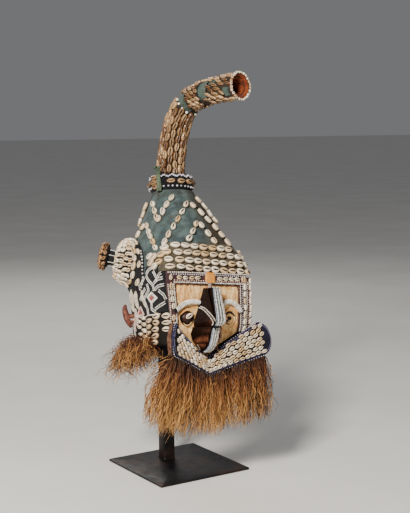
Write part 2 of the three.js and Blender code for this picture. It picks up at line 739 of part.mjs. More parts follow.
// A closed ring: a profile of distances and radii carried all the way round.
function ringGeometry(placeAt, profile, sides) {
  const count = profile.length;
  const points = [];
  const centres = profile.map(([along]) => placeAt(along).centre);
  profile.forEach(([along, radius]) => {
    const { centre, side, up } = placeAt(along);
    for (let k = 0; k < sides; k++) {
      const a = (2 * Math.PI * k) / sides;
      const p = centre.clone().addScaledVector(side, radius * Math.cos(a));
      points.push(p.addScaledVector(up, radius * Math.sin(a)));
    }
  });
  const faces = [];
  for (let r = 0; r < count; r++) {
    for (let k = 0; k < sides; k++) {
      const [a, b] = [r * sides + k, r * sides + ((k + 1) % sides)];
      const [c, d] = [((r + 1) % count) * sides + ((k + 1) % sides), ((r + 1) % count) * sides + k];
      const outward = points[a].clone().sub(centres[r]);
      addCell(points, faces, [a, b, c, d], outward, profile[r][2] ? COWRIE.height : 0);
    }
  }
  return closed(points, faces);
}
const tipRing = [
  [GAP, 22.5],
  [GAP, 31],
  [3.4, 32.5],
  [6.6, 31.5],
  [6.6, 28.5],
];
place("trunk_tip_ring", ringGeometry(tipPlace, tipRing, 16), COWRIE_WHITE);
const lining = [
  [-TRUNK.mouthDepth + GAP, 0],
  [-TRUNK.mouthDepth + GAP, TRUNK.mouthRadius - 0.9],
  [GAP, TRUNK.mouthRadius - 0.9],
  [GAP, TRUNK.mouthRadius - 2.6],
  [-TRUNK.mouthDepth + 2.6, TRUNK.mouthRadius - 2.6],
  [-TRUNK.mouthDepth + 2.6, 0],
];
place("trunk_lining", sweep(tipPlace, lining, TRUNK.sides), LINING);

// The collar that the trunk rises from, and the cloth tie on it.
const collarCentre = trunkAt(0.06).centre;
const collarPlace = (z) => ({
  centre: vec(collarCentre.x, collarCentre.y, z),
  side: vec(1, 0, 0),
  up: vec(0, 1, 0),
});
const collarHigh = COLLAR.low + COLLAR.height;
const collarProfile = [
  [COLLAR.low, COLLAR.bore],
  [COLLAR.low, COLLAR.radius - 1],
  [COLLAR.low + 11, COLLAR.radius, true],
  [COLLAR.low + 26, COLLAR.radius],
  [collarHigh, COLLAR.radius - 5],
  [collarHigh, COLLAR.bore],
];
const TIE = { degrees: -63, half: 7, low: 311, high: 366, lift: 2 };
const tieSkin = (offset) => (u, v) => {
  const a = rad(TIE.degrees) + (u - 0.5) * ((2 * TIE.half) / COLLAR.bulge);
  const r = COLLAR.bulge + 3.4 + offset + (v > 0.9 ? 3 : 0);
  const z = lerp(TIE.low, TIE.high, v);
  return vec(collarCentre.x + r * Math.sin(a), collarCentre.y - r * Math.cos(a), z);
};
const tie = slab({ outer: tieSkin(TIE.lift), inner: tieSkin(0), columns: 2, rows: 5 });
place("trunk_collar", cut(ringGeometry(collarPlace, collarProfile, COLLAR.shells), tie), DARK_CLOTH);
const collarBulk = ringGeometry(
  collarPlace,
  collarProfile.map(([z, r]) => [z, r + (r > COLLAR.bore + 2 ? 2.2 : -1)]),
  24,
);
place("collar_tie", cut(tie, collarBulk), CLOTH);

// The beard band.
// A stiff padded V under the chin: each arm rises outwards and forwards to a round end.
const BEARD = {
  topVertex: vec(0, -99, -91),
  topEnd: vec(116, -148, -12.5),
  lowVertex: vec(0, -107, -131),
  lowEnd: vec(124, -153, -90),
  tip: vec(17, -17, 1),
  thickness: 18,
  face: vec(-0.43, -0.9, 0.07),
};
const BEARD_STATIONS = [0, 0.17, 0.34, 0.51, 0.68, 0.84, 1, 1.4, 1.75, 1.94];
function beardPoint(side, station, v, lift) {
  const q = Math.min(station, 1);
  const top = BEARD.topVertex.clone().lerp(BEARD.topEnd, q);
  const low = BEARD.lowVertex.clone().lerp(BEARD.lowEnd, q);
  const turn = Math.max(0, station - 1) * (Math.PI / 2);
  const share = 0.5 + (v - 0.5) * Math.cos(turn);
  const p = low.lerp(top, share).addScaledVector(BEARD.tip, Math.sin(turn));
  const normal = vec(BEARD.face.x * Math.min(1, station / 0.3), BEARD.face.y, BEARD.face.z).normalize();
  p.addScaledVector(normal, lift);
  return vec(side * p.x, p.y, p.z);
}
function beardBand() {
  const columns = 2 * (BEARD_STATIONS.length - 1);
  const half = columns / 2;
  const skin = (lift) => (u, v) => {
    const k = Math.round(u * columns) - half;
    return beardPoint(k < 0 ? -1 : 1, BEARD_STATIONS[Math.abs(k)], v, lift);
  };
  const covered = (i) => Math.abs(i + 0.5 - half) < BEARD_STATIONS.indexOf(1);
  return slab({
    outer: skin(BEARD.thickness / 2),
    inner: skin(-BEARD.thickness / 2),
    columns,
    rows: 4,
    relief: (i) => (covered(i) ? COWRIE.height : 0),
  });
}
const faceBlock = slab({
  outer: (u, v) => headPoint(lerp(-1.2, 1.2, u), lerp(-95, 100, v), FRAME.depth + 2),
  inner: (u, v) => headPoint(lerp(-1.2, 1.2, u), lerp(-95, 100, v), -45),
  columns: 20,
  rows: 8,
});
place("beard_band", cut(beardBand(), faceBlock), COWRIE_WHITE);

// The raffia fringes.
// Raffia hangs straight down whatever way the mask leans.
const dropTo = (p, worldZ, out, spread) => {
  const drop = p.clone().applyMatrix4(mask.matrixWorld).z - worldZ;
  return p.clone().addScaledVector(downInMask, drop).addScaledVector(out, spread);
};
// Hem heights are above the plate's underside; the mask's right side splays and lifts more.
const BEARD_FRINGE = {
  hem: 116,
  rise: 34,
  rightRise: 22,
  wave: 5,
  spread: 16,
  rightSpread: 58,
  thickness: 18,
};
function beardFringe() {
  const skin = (lift) => (u, v) => {
    const side = u < 0.5 ? -1 : 1;
    const station = Math.abs(2 * u - 1);
    const right = side < 0 ? 1 : 0;
    const head = beardPoint(side, station, 0, lift).addScaledVector(downInMask, 1.2);
    const out = vec(side * 0.9, right ? 0.15 : -0.075, 0).multiplyScalar(station);
    const lifted = BEARD_FRINGE.rise * station ** 1.5 + right * BEARD_FRINGE.rightRise * station ** 3;
    const hem = BEARD_FRINGE.hem + lifted + BEARD_FRINGE.wave * Math.sin(13 * u);
    const foot = dropTo(head, hem, out, right ? BEARD_FRINGE.rightSpread : BEARD_FRINGE.spread);
    const belly = (lift > 0 ? 8 : 0) * Math.sin((Math.PI / 2) * v);
    return head.clone().lerp(foot, v).addScaledVector(vec(0, -1, 0), belly);
  };
  const half = BEARD_FRINGE.thickness / 2;
  return slab({ outer: skin(half), inner: skin(-half), columns: 16, rows: 3 });
}
place("beard_fringe", beardFringe(), RAFFIA);

const NAPE = { from: 100, to: 260, top: -36, hem: 206, innerHem: 222, thickness: 7, flare: 40 };
function napeFringe() {
  const skin = (offset, flare, hem) => (u, v) => {
    const angle = rad(lerp(NAPE.from, NAPE.to, u));
    const top = headPoint(angle, lerp(NAPE.top, RIM_Z, Math.min(1, v * 3)), offset);
    if (v <= 0.34) return top;
    const out = vec(Math.sin(angle), -Math.cos(angle), 0);
    const t = (v - 1 / 3) * 1.5;
    const foot = dropTo(top, hem + 6 * Math.sin(9 * angle), out, flare);
    return top.clone().lerp(foot, t).addScaledVector(out, flare * 0.5 * Math.sin(Math.PI * t));
  };
  const outer = skin(NAPE.thickness, NAPE.flare, NAPE.hem);
  return slab({ outer, inner: skin(GAP + 0.8, 2, NAPE.innerHem), columns: 16, rows: 6 });
}
place("nape_fringe", napeFringe(), RAFFIA);

export default root;
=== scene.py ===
"""Looks of the cowrie helmet mask and its steel stand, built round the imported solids.

Lengths are millimetres in the mask's own frame, where the face looks along -Y and +Z is up,
until a shape is handed to the bench, which leans the mask on its post and turns it to metres.
"""

import logging
import math
from dataclasses import dataclass, field
from enum import Enum
from typing import Callable

import bpy
import numpy as np
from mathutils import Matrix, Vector


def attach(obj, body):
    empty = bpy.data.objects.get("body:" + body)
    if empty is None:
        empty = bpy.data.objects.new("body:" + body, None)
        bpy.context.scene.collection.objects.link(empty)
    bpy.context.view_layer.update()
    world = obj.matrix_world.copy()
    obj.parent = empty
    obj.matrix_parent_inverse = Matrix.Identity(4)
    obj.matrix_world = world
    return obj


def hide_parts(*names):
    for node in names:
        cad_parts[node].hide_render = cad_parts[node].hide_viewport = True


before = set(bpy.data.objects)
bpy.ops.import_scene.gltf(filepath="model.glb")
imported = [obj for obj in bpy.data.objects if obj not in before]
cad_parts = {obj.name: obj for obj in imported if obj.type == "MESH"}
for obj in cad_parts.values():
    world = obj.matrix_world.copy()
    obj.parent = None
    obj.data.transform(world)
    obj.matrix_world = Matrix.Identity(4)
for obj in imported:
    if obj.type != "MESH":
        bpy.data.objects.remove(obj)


LOG = logging.getLogger("mask")

MM = 0.001

SHELL_EDGE = 1.5

RGB = tuple[float, float, float]

Array = np.ndarray

Surface = Callable[..., Array]

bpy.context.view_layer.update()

UP = np.array([0, 0, 1.0])


def unit(v: Array) -> Array:
    """Vectors of length one."""
    return v / np.maximum(np.linalg.norm(v, axis=-1, keepdims=True), 1e-12)


def xyz(x: Array, y: Array, z: Array) -> Array:
    """Points from three arrays or numbers that broadcast together."""
    return np.stack(np.broadcast_arrays(x, y, z), -1).astype(float)


def bell(x: Array, middle: float, width: float) -> Array:
    """A smooth hump of height one: e to the minus square of the distance in widths."""
    return np.exp(-(((x - middle) / width) ** 2))


def ease(x: Array, low: float, high: float) -> Array:
    """A smooth step from 0 at low to 1 at high."""
    t = np.clip((x - low) / (high - low), 0, 1)
    return t * t * (3 - 2 * t)


def lerp(a: Array, b: Array, t: Array) -> Array:
    """The value a share t of the way from a to b."""
    return a + (b - a) * t


def circle(count: int) -> Array:
    """Even turns round a full circle, in radians from 0."""
    return 2 * math.pi * np.arange(count) / count


def ripple(points: Array, wavelength: float, seed: int) -> Array:
    """Uneven waves over a surface.

    The value is a sum of ten sine waves in random directions, about -1 to 1.

    Args:
        points: places, in millimetres.
        wavelength: typical distance between crests.
        seed: picks the directions.

    Returns:
        One value for each point.
    """
    rng = np.random.default_rng(seed)
    way = unit(rng.normal(size=(10, 3))) * rng.uniform(0.6, 1.7, (10, 1))
    turn = rng.uniform(0, 2 * math.pi, 10)
    return np.sin(points @ way.T * (2 * math.pi / wavelength) + turn).sum(-1) / 4


def paint(code: str) -> RGB:
    """A linear colour from a six-digit screen colour."""
    screen = [int(code[i : i + 2], 16) / 255 for i in (0, 2, 4)]
    return tuple(((c + 0.055) / 1.055) ** 2.4 if c > 0.04045 else c / 12.92 for c in screen)


def marked(mark: Array | None, count: int) -> Array:
    """The marks of points in one row, or zeros where there are none."""
    return np.zeros(count) if mark is None else np.asarray(mark, float).ravel()


def copied(faces: Array, count: int, each: int) -> Array:
    """The faces of copies of a shape, each copy with the same number of points."""
    starts = (np.arange(count) * each)[:, None, None]
    return np.where(faces[None] < 0, -1, faces[None] + starts).reshape(-1, 4)


@dataclass
class Shape:
    """Closed surfaces: points, faces of three or four corners, and values at the points.

    A face is a row of four point numbers, the last of them -1 on a triangle. Mark is how
    much a point is darkened, by stains, grime or painted shade, and tone is a shade from 0 to 1.
    Dye is a colour.
    """

    points: Array
    faces: Array
    mark: Array
    tone: Array
    dye: Array

    @staticmethod
    def of(points: Array, faces: Array, mark: Array | None = None) -> "Shape":
        """A shape whose faces are turned outwards, with plain tone and dye.

        Args:
            points: n by 3.
            faces: m by 4.
            mark: one value for each point, or nothing for none.

        Returns:
            The shape.
        """
        corner = points[np.where(faces < 0, faces[:, :1], faces)]
        fan = np.cross(corner[:, 1], corner[:, 2]) + np.cross(corner[:, 2], corner[:, 3])
        if (corner[:, 0] * fan).sum() < 0:
            faces = np.where(faces[:, 3:] < 0, faces[:, [0, 2, 1, 3]], faces[:, ::-1])
        count = len(points)
        return Shape(points, faces, marked(mark, count), np.full(count, 0.5), np.ones((count, 3)))

    @staticmethod
    def join(shapes: list["Shape"]) -> "Shape":
        """Several shapes as one, each still closed.

        Args:
            shapes: the shapes, in order.

        Returns:
            One shape.
        """
        starts = np.cumsum([0] + [len(s.points) for s in shapes])
        faces = [np.where(s.faces < 0, -1, s.faces + start) for s, start in zip(shapes, starts)]
        return Shape(
            np.concatenate([s.points for s in shapes]),
            np.concatenate(faces),
            np.concatenate([s.mark for s in shapes]),
            np.concatenate([s.tone for s in shapes]),
            np.concatenate([s.dye for s in shapes]),
        )


def cells(grid: Array) -> Array:
    """The faces between neighbouring points of a grid of point numbers."""
    corners = [grid[:-1, :-1], grid[:-1, 1:], grid[1:, 1:], grid[1:, :-1]]
    return np.stack(corners, -1).reshape(-1, 4)


def loft(rings: Array, loop: bool = False, mark: Array | None = None) -> Shape:
    """Closed rings of points joined along a path.

    Point k of each ring joins point k of the next. The last ring joins the first in a loop,
    and otherwise each end is closed by a fan about its middle.

    Args:
        rings: rings by points by 3.
        loop: whether the path closes on itself.
        mark: one value for each point of the rings.

    Returns:
        The closed shape.
    """
    count, sides = rings.shape[:2]
    grid = np.arange(count * sides).reshape(count, sides)
    grid = np.concatenate([grid, grid[:, :1]], 1)
    points = rings.reshape(-1, 3)
    marks = marked(mark, len(points))
    if loop:
        return Shape.of(points, cells(np.concatenate([grid, grid[:1]])), marks)
    ends = np.stack([rings[0].mean(0), rings[-1].mean(0)])
    none = np.full(sides, -1)
    first = np.stack([grid[0, 1:], grid[0, :-1], np.full(sides, len(points)), none], 1)
    last = np.stack([grid[-1, :-1], grid[-1, 1:], np.full(sides, len(points) + 1), none], 1)
    faces = np.concatenate([cells(grid), first, last])
    end_marks = [marks[:sides].mean(), marks[-sides:].mean()]
    return Shape.of(np.concatenate([points, ends]), faces, np.concatenate([marks, end_marks]))


def slab(outer: Array, inner: Array, wrap: bool = False, mark: Array | None = None) -> Shape:
    """The closed body between two surfaces given as grids of the same size.

    Args:
        outer: rows by columns by 3.
        inner: the same, for the underside.
        wrap: whether the last column joins the first.
        mark: one value for each point of the outer grid.

    Returns:
        The closed shape.
    """
    rows, columns = outer.shape[:2]
    top = np.arange(rows * columns).reshape(rows, columns)
    if wrap:
        top = np.concatenate([top, top[:, :1]], 1)
    under = top + rows * columns
    faces = [cells(top)[:, ::-1], cells(under)]
    for at, turned in ((0, False), (-1, True)):
        strip = cells(np.stack([top[at], under[at]]))
        faces.append(strip[:, ::-1] if turned else strip)
        if not wrap:
            strip = cells(np.stack([top[:, at], under[:, at]]))
            faces.append(strip if turned else strip[:, ::-1])
    points = np.concatenate([outer.reshape(-1, 3), inner.reshape(-1, 3)])
    marks = marked(mark, rows * columns)
    return Shape.of(points, np.concatenate(faces), np.concatenate([marks, marks * 0]))


@dataclass
class Seats:
    """Places for repeated pieces: where each sits, the way it lies and the way it faces."""

    centre: Array
    along: Array
    out: Array

    @staticmethod
    def join(seats: list["Seats"]) -> "Seats":
        """Several sets of places as one."""
        parts = [(s.centre, s.along, s.out) for s in seats]
        return Seats(*(np.concatenate(part) for part in zip(*parts)))

    def axes(self) -> tuple[Array, Array, Array]:
        """Unit vectors along, across and out of each place."""
        out = unit(self.out)
        along = unit(self.along - out * (self.along * out).sum(-1, keepdims=True))
        return along, np.cross(out, along), out

    def turned(self, degrees: Array) -> "Seats":
        """The places with the way they lie turned about the way they face.

        Args:
            degrees: one turn for each place, or for all.

        Returns:
            The turned places.
        """
        along, across, out = self.axes()
        turn = np.radians(np.broadcast_to(degrees, len(self.centre)))[:, None]
        return Seats(self.centre, along * np.cos(turn) + across * np.sin(turn), out)

    def raised(self, height: float) -> "Seats":
        """The places moved out of the surface."""
        return Seats(self.centre + unit(self.out) * height, self.along, self.out)

    def kept(self, keep: Array) -> "Seats":
        """Only the places that keep is true for."""
        return Seats(self.centre[keep], self.along[keep], self.out[keep])

    def shaken(self, rng: np.random.Generator, degrees: float, shift: float) -> "Seats":
        """The places with hand-sewn unevenness: turned, tipped and moved a little.

        Args:
            rng: draws the differences.
            degrees: typical turn.
            shift: typical move.

        Returns:
            The loosened places.
        """
        loose = self.turned(rng.normal(0, degrees, len(self.centre)))
        tip = rng.normal(0, math.radians(degrees) * 0.6, loose.out.shape)
        step = rng.normal(0, shift, loose.out.shape)
        return Seats(loose.centre + step, loose.along, unit(loose.out + tip))


@dataclass(frozen=True)
class Stamp:
    """A small shape that is laid down many times, in half lengths, half widths and heights."""

    points: Array
    faces: Array
    mark: Array

    @staticmethod
    def of(shape: Shape) -> "Stamp":
        """A stamp of a shape that is about the middle and half as long and wide as one."""
        return Stamp(shape.points, shape.faces, shape.mark)

    def lay(self, seats: Seats, size: tuple, tone: Array, dye: Array | None = None) -> Shape:
        """A copy of the stamp at every place.

        Each point is its place plus its three unit coordinates along the place's axes, times
        the half length, the half width and the height.

        Args:
            seats: the places.
            size: length, width and height, each a number or one value for each place.
            tone: a shade for each place.
            dye: a colour for each place, or nothing for white.

        Returns:
            All the copies as one shape.
        """
        count, each = len(seats.centre), len(self.points)
        length, width, height = (np.broadcast_to(s, count)[:, None, None] for s in size)
        along, across, out = (axis[:, None] for axis in seats.axes())
        unit_x, unit_y, unit_z = (self.points[None, :, k, None] for k in range(3))
        points = seats.centre[:, None] + along * unit_x * length / 2
        points = points + across * unit_y * width / 2 + out * unit_z * height
        dyes = np.broadcast_to(1.0 if dye is None else dye, (count, 3))
        return Shape(
            points.reshape(-1, 3),
            copied(self.faces, count, each),
            np.tile(self.mark, count),
            np.repeat(np.broadcast_to(tone, count), each),
            np.repeat(dyes, each, 0),
        )


def cowrie_stamp() -> Stamp:
    """A cowrie with its slit up: egg-shaped rings rise over the lips and dip into the slit."""
    turn = circle(10)
    # Each ring is half length, half width, height and mark; the mark is painted shade round the foot,
    # where the shell meets the cloth, and down in the slit.
    rings = np.array(
        [
            [0.80, 0.80, -0.25, 1.0],
            [1.00, 1.00, 0.12, 0.7],
            [0.96, 0.92, 0.56, 0.12],
            [0.88, 0.66, 0.92, 0.0],
            [0.90, 0.28, 0.98, 0.25],
            [0.88, 0.18, 0.50, 1.0],
        ]
    )
    narrow = np.sign(np.sin(turn)) * np.abs(np.sin(turn)) ** 1.15
    y = rings[:, 1:2] * narrow * (1 - 0.16 * np.cos(turn))
    x = rings[:, :1] * np.cos(turn)
    return Stamp.of(loft(xyz(x, y, rings[:, 2:3]), mark=np.repeat(rings[:, 3], len(turn))))


def bead_stamp() -> Stamp:
    """A glass seed bead lying along its thread: a six-sided barrel."""
    turn = circle(6)
    along = np.array([-1.0, -0.55, 0.55, 1.0])[:, None]
    radius = np.array([0.4, 1.0, 1.0, 0.4])[:, None]
    return Stamp.of(loft(xyz(along, radius * np.cos(turn), radius * np.sin(turn))))


COWRIE = cowrie_stamp()

BEAD = bead_stamp()


def travelled(path: Array) -> Array:
    """The distance along a path of each of its points."""
    return np.concatenate([[0], np.cumsum(np.linalg.norm(np.diff(path, axis=0), axis=1))])


def read(values: Array, known: Array, at: Array) -> Array:
    """Rows of values, one for each known number, read between them at other numbers."""
    return np.stack([np.interp(at, known, column) for column in values.T], -1)


def resample(path: Array, at: Array) -> Array:
    """Places on a path at distances along it."""
    return read(path, travelled(path), at)


def run_length(path: Array) -> float:
    """The length of a path."""
    return float(np.linalg.norm(np.diff(path, axis=0), axis=1).sum())


def walk(path: Array, out: Array, pitch: float) -> Seats:
    """Places at even steps along a path on a surface.

    Args:
        path: n by 3.
        out: the way the surface faces at each point of the path.
        pitch: distance between places.

    Returns:
        The places, lying along the path.
    """
    length = run_length(path)
    count = max(1, round(length / pitch))
    at = (np.arange(count) + 0.5) * length / count
    ahead = resample(path, np.minimum(at + 0.5, length)) - resample(path, np.maximum(at - 0.5, 0))
    return Seats(resample(path, at), ahead, read(out, travelled(path), at))


def tube(path: Array, out: Array, wide: Array, high: Array, sides: int, loop: bool = False) -> Shape:
    """A tube of oval section along a path.

    Each ring is the path's point plus cosine times the sideways half width and sine times the
    outward half height.

    Args:
        path: n by 3.
        out: the way that the section's height points, for each point or for all.
        wide: half width, for each point or for all.
        high: half height, for each point or for all.
        sides: points in each ring.
        loop: whether the path closes on itself.

    Returns:
        The closed tube.
    """
    along = np.roll(path, -1, 0) - np.roll(path, 1, 0) if loop else np.gradient(path, axis=0)
    ahead = unit(along)
    across = unit(np.cross(ahead, np.broadcast_to(out, path.shape)))
    up = np.cross(across, ahead)
    spin = circle(sides)[:, None]
    wide, high = (np.broadcast_to(half, len(path))[:, None, None] for half in (wide, high))
    rings = path[:, None] + across[:, None] * np.cos(spin) * wide
    return loft(rings + up[:, None] * np.sin(spin) * high, loop)


def curve(knots: Array, count: int) -> Array:
    """A smooth path through knots, at even steps: a Catmull-Rom spline by chord length.

    Args:
        knots: places in two or three dimensions.
        count: points in the path.

    Returns:
        The path.
    """
    knots = np.asarray(knots, float)
    pad = np.concatenate([[2 * knots[0] - knots[1]], knots, [2 * knots[-1] - knots[-2]]])
    gap = np.maximum(np.linalg.norm(np.diff(pad, axis=0), axis=1) ** 0.5, 1e-6)
    when = np.concatenate([[0], np.cumsum(gap)])
    t = np.linspace(when[1], when[-2], 40 * len(knots))
    i = np.clip(np.searchsorted(when, t, side="right") - 1, 1, len(knots) - 1)

    def between(a: Array, b: Array, ta: Array, tb: Array) -> Array:
        """The points at t between points a at ta and b at tb."""
        share = ((t - ta) / (tb - ta))[:, None]
        return a * (1 - share) + b * share

    t0, t1, t2, t3 = (when[i + k] for k in (-1, 0, 1, 2))
    p0, p1, p2, p3 = (pad[i + k] for k in (-1, 0, 1, 2))
    a1, a2, a3 = between(p0, p1, t0, t1), between(p1, p2, t1, t2), between(p2, p3, t2, t3)
    fine = between(between(a1, a2, t0, t2), between(a2, a3, t1, t3), t1, t2)
    if knots.shape[1] == 2:
        fine = np.concatenate([fine, fine[:, :1] * 0], 1)
    path = resample(fine, np.linspace(0, run_length(fine), count))
    return path[:, : knots.shape[1]]


def strands(paths: Array, width: Array, tone: Array, seed: int) -> Shape:
    """Fibres of three-cornered section along many paths at once.

    Args:
        paths: fibres by points by 3.
        width: half width of each fibre at each of its points.
        tone: a shade for each fibre.
        seed: picks the way that each fibre's flat side faces.

    Returns:
        All the fibres as one shape, each closed at both ends.
    """
    count, knots = paths.shape[:2]
    rng = np.random.default_rng(seed)
    ahead = unit(np.gradient(paths, axis=1))
    across = unit(np.cross(ahead, unit(rng.normal(size=(count, 1, 3)))))
    up = np.cross(across, ahead)
    turn = circle(3)[:, None]
    reach = width[:, :, None, None]
    rings = paths[:, :, None] + across[:, :, None] * np.cos(turn) * reach
    rings = rings + up[:, :, None] * np.sin(turn) * reach * 0.6
    grid = np.arange(knots * 3).reshape(knots, 3)
    side = cells(np.concatenate([grid, grid[:, :1]], 1))
    caps = np.array([[2, 1, 0, -1], [3 * knots - 3, 3 * knots - 2, 3 * knots - 1, -1]])
    one = Shape.of(rings[0].reshape(-1, 3), np.concatenate([side, caps]))
    faces = copied(one.faces, count, knots * 3)
    along = np.tile(np.repeat(np.linspace(0, 1, knots), 3), count)
    points = rings.reshape(-1, 3)
    return Shape(points, faces, along, np.repeat(tone, knots * 3), np.ones_like(points))


class Dress:
    """The node tree of one material, with short calls for the nodes that the finishes use."""

    def __init__(self, name: str) -> None:
        """Starts a material with its shader.

        Args:
            name: the material's name.
        """
        self.material = bpy.data.materials.new(name)
        self.material.use_nodes = True
        self.tree = self.material.node_tree
        self.shader = self.tree.nodes["Principled BSDF"]
        self.where = self.tree.nodes.new("ShaderNodeTexCoord").outputs["Object"]

    def feed(self, socket: bpy.types.NodeSocket, value: object) -> None:
        """Links a socket into another, or sets its plain value or its six-digit colour."""
        if isinstance(value, bpy.types.NodeSocket):
            self.tree.links.new(value, socket)
        elif isinstance(value, str):
            socket.default_value = (*paint(value), 1)
        else:
            socket.default_value = value

    def add(self, kind: str, inputs: dict, **settings: object) -> bpy.types.Node:
        """A node with its settings and inputs.

        Args:
            kind: the node's type name, without its ShaderNode start.
            inputs: input names or numbers, and what each takes.
            settings: the node's own options.

        Returns:
            The node.
        """
        node = self.tree.nodes.new("ShaderNode" + kind)
        for name, value in settings.items():
            setattr(node, name, value)
        for name, value in inputs.items():
            self.feed(node.inputs[name], value)
        return node

    def noise(self, size: float, detail: float = 3, stretch: tuple = (1, 1, 1)) -> object:
        """Cloudy noise from 0 to 1, with patches of a size in millimetres.

        Args:
            size: patch size in millimetres.
            detail: layers of finer noise.
            stretch: how much longer the patches are along each axis.

        Returns:
            The noise's socket.
        """
        scaled = tuple(1 / (size * MM * s) for s in stretch)
        spot = self.add("Mapping", {"Vector": self.where, "Scale": scaled}).outputs[0]
        inputs = {"Vector": spot, "Scale": 1.0, "Detail": detail, "Roughness": 0.6}
        return self.add("TexNoise", inputs).outputs["Fac"]

    def value(self, name: str) -> object:
        """A number kept at the points, such as tone or mark."""
        return self.add("Attribute", {}, attribute_name=name).outputs["Fac"]

    def colour(self, name: str) -> object:
        """A colour kept at the points."""
        return self.add("Attribute", {}, attribute_name=name).outputs["Color"]

    def span(self, value: object, low: float, high: float, to: tuple = (0.0, 1.0)) -> object:
        """A value spread from one range to another, and held at its ends.

        Args:
            value: a socket or number.
            low: value at the first end.
            high: value at the last end.
            to: what the two ends become.

        Returns:
            The new value's socket.
        """
        inputs = {"Value": value, "From Min": low, "From Max": high}
        inputs.update({"To Min": to[0], "To Max": to[1]})
        return self.add("MapRange", inputs).outputs[0]

    def maths(self, kind: str, a: object, b: object) -> object:
        """Arithmetic on two values."""
        return self.add("Math", {0: a, 1: b}, operation=kind).outputs[0]

    def mix(self, share: object, a: object, b: object) -> object:
        """Two colours mixed by a share: a colour Mix node takes them at its sockets 6 and 7."""
        return self.add("Mix", {0: share, 6: a, 7: b}, data_type="RGBA").outputs[2]

    def bump(self, height: object, depth: float, below: object = None) -> object:
        """A bump of a depth in millimetres, over another one if it is given.

        Args:
            height: the relief's socket.
            depth: millimetres.
            below: an earlier bump.

        Returns:
            The bent normal's socket.
        """
        inputs = {"Height": height, "Strength": 1.0, "Distance": depth * MM}
        if below is not None:
            inputs["Normal"] = below
        return self.add("Bump", inputs).outputs[0]

    def wear(self, **inputs: object) -> bpy.types.Material:
        """Sets the shader's inputs, by names with underscores, and returns the material."""
        for name, value in inputs.items():
            self.feed(self.shader.inputs[name.replace("_", " ")], value)
        return self.material


@dataclass(frozen=True)
class Cloth:
    """Woven cloth: base and faded colours, a colour for grime and painted shade, and the pitch of its
    threads.
    """

    name: str
    base: str
    faded: str
    dirt_and_shade: str
    thread: float = 1.1
    roughness: float = 0.92

    def build(self) -> bpy.types.Material:
        """Crossed threads in the bump, with cloudy fading and grime, and painted shade where the mark is.
        """
        d = Dress(self.name)
        fade = d.span(d.noise(38), 0.42, 0.62)
        colour = d.mix(fade, self.base, self.faded)
        grime = d.span(d.noise(16, 5), 0.5, 0.72, (0.0, 0.85))
        colour = d.mix(grime, colour, self.dirt_and_shade)
        fine = d.noise(2.2, 2)
        colour = d.mix(d.span(fine, 0.3, 0.7, (0.0, 0.35)), colour, self.dirt_and_shade)
        # The mark darkens towards the grime colour as painted shade: under the crown's collar, in the
        # trunk's shell gaps and deep in the mouth lining. It also browns the crown towards the mask's
        # left.
        colour = d.mix(d.value("mark"), colour, self.dirt_and_shade)
        threads = []
        for spin in (0.3, 1.9):
            turned = d.add("Mapping", {"Vector": d.where, "Rotation": (0.2, spin, 0.7)}).outputs[0]
            inputs = {"Vector": turned, "Scale": 1 / (self.thread * MM * 3.2), "Distortion": 1.5}
            threads.append(d.add("TexWave", inputs).outputs["Fac"])
        weave = d.maths("MULTIPLY", threads[0], threads[1])
        bump = d.bump(d.noise(9, 4), 1.4, d.bump(weave, 0.5))
        finish = {"Sheen_Weight": 0.04, "Specular_IOR_Level": 0.25}
        return d.wear(Base_Color=colour, Roughness=self.roughness, Normal=bump, **finish)


@dataclass(frozen=True)
class Shells:
    """Cowrie shell: pale and deep body colours, and the dark painted as shade in the slit and round the
    foot.
    """

    name: str
    pale: str
    deep: str
    slit: str

    def build(self) -> bpy.types.Material:
        """Each shell has its own tone, with cloudy stains, and painted shade in the slit and round its
        foot.
        """
        d = Dress(self.name)
        colour = d.mix(d.span(d.value("tone"), 0.15, 0.95), self.pale, self.deep)
        cloud = d.span(d.noise(7, 4), 0.48, 0.7, (0.0, 0.6))
        colour = d.mix(cloud, colour, self.deep)
        # painted shade: the mark darkens the slit and the foot of each shell to the slit colour
        dark = d.span(d.value("mark"), 0.1, 0.8)
        colour = d.mix(dark, colour, self.slit)
        rough = d.span(dark, 0, 1, (0.34, 0.85))
        bump = d.bump(d.noise(2.5, 3), 0.25)
        return d.wear(Base_Color=colour, Roughness=rough, Normal=bump, Coat_Weight=0.12)


@dataclass(frozen=True)
class Glass:
    """Opaque glass beads in the colours that they carry, dulled by dust."""

    name: str
    dust: str

    def build(self) -> bpy.types.Material:
        """The dye of each bead, a little darker or duller from one to the next."""
        d = Dress(self.name)
        shade = d.span(d.value("tone"), 0, 1, (0.0, 0.5))
        colour = d.mix(shade, d.colour("dye"), self.dust)
        colour = d.mix(d.span(d.noise(14, 4), 0.5, 0.75, (0.0, 0.6)), colour, self.dust)
        return d.wear(Base_Color=colour, Roughness=0.28, Coat_Weight=0.2)


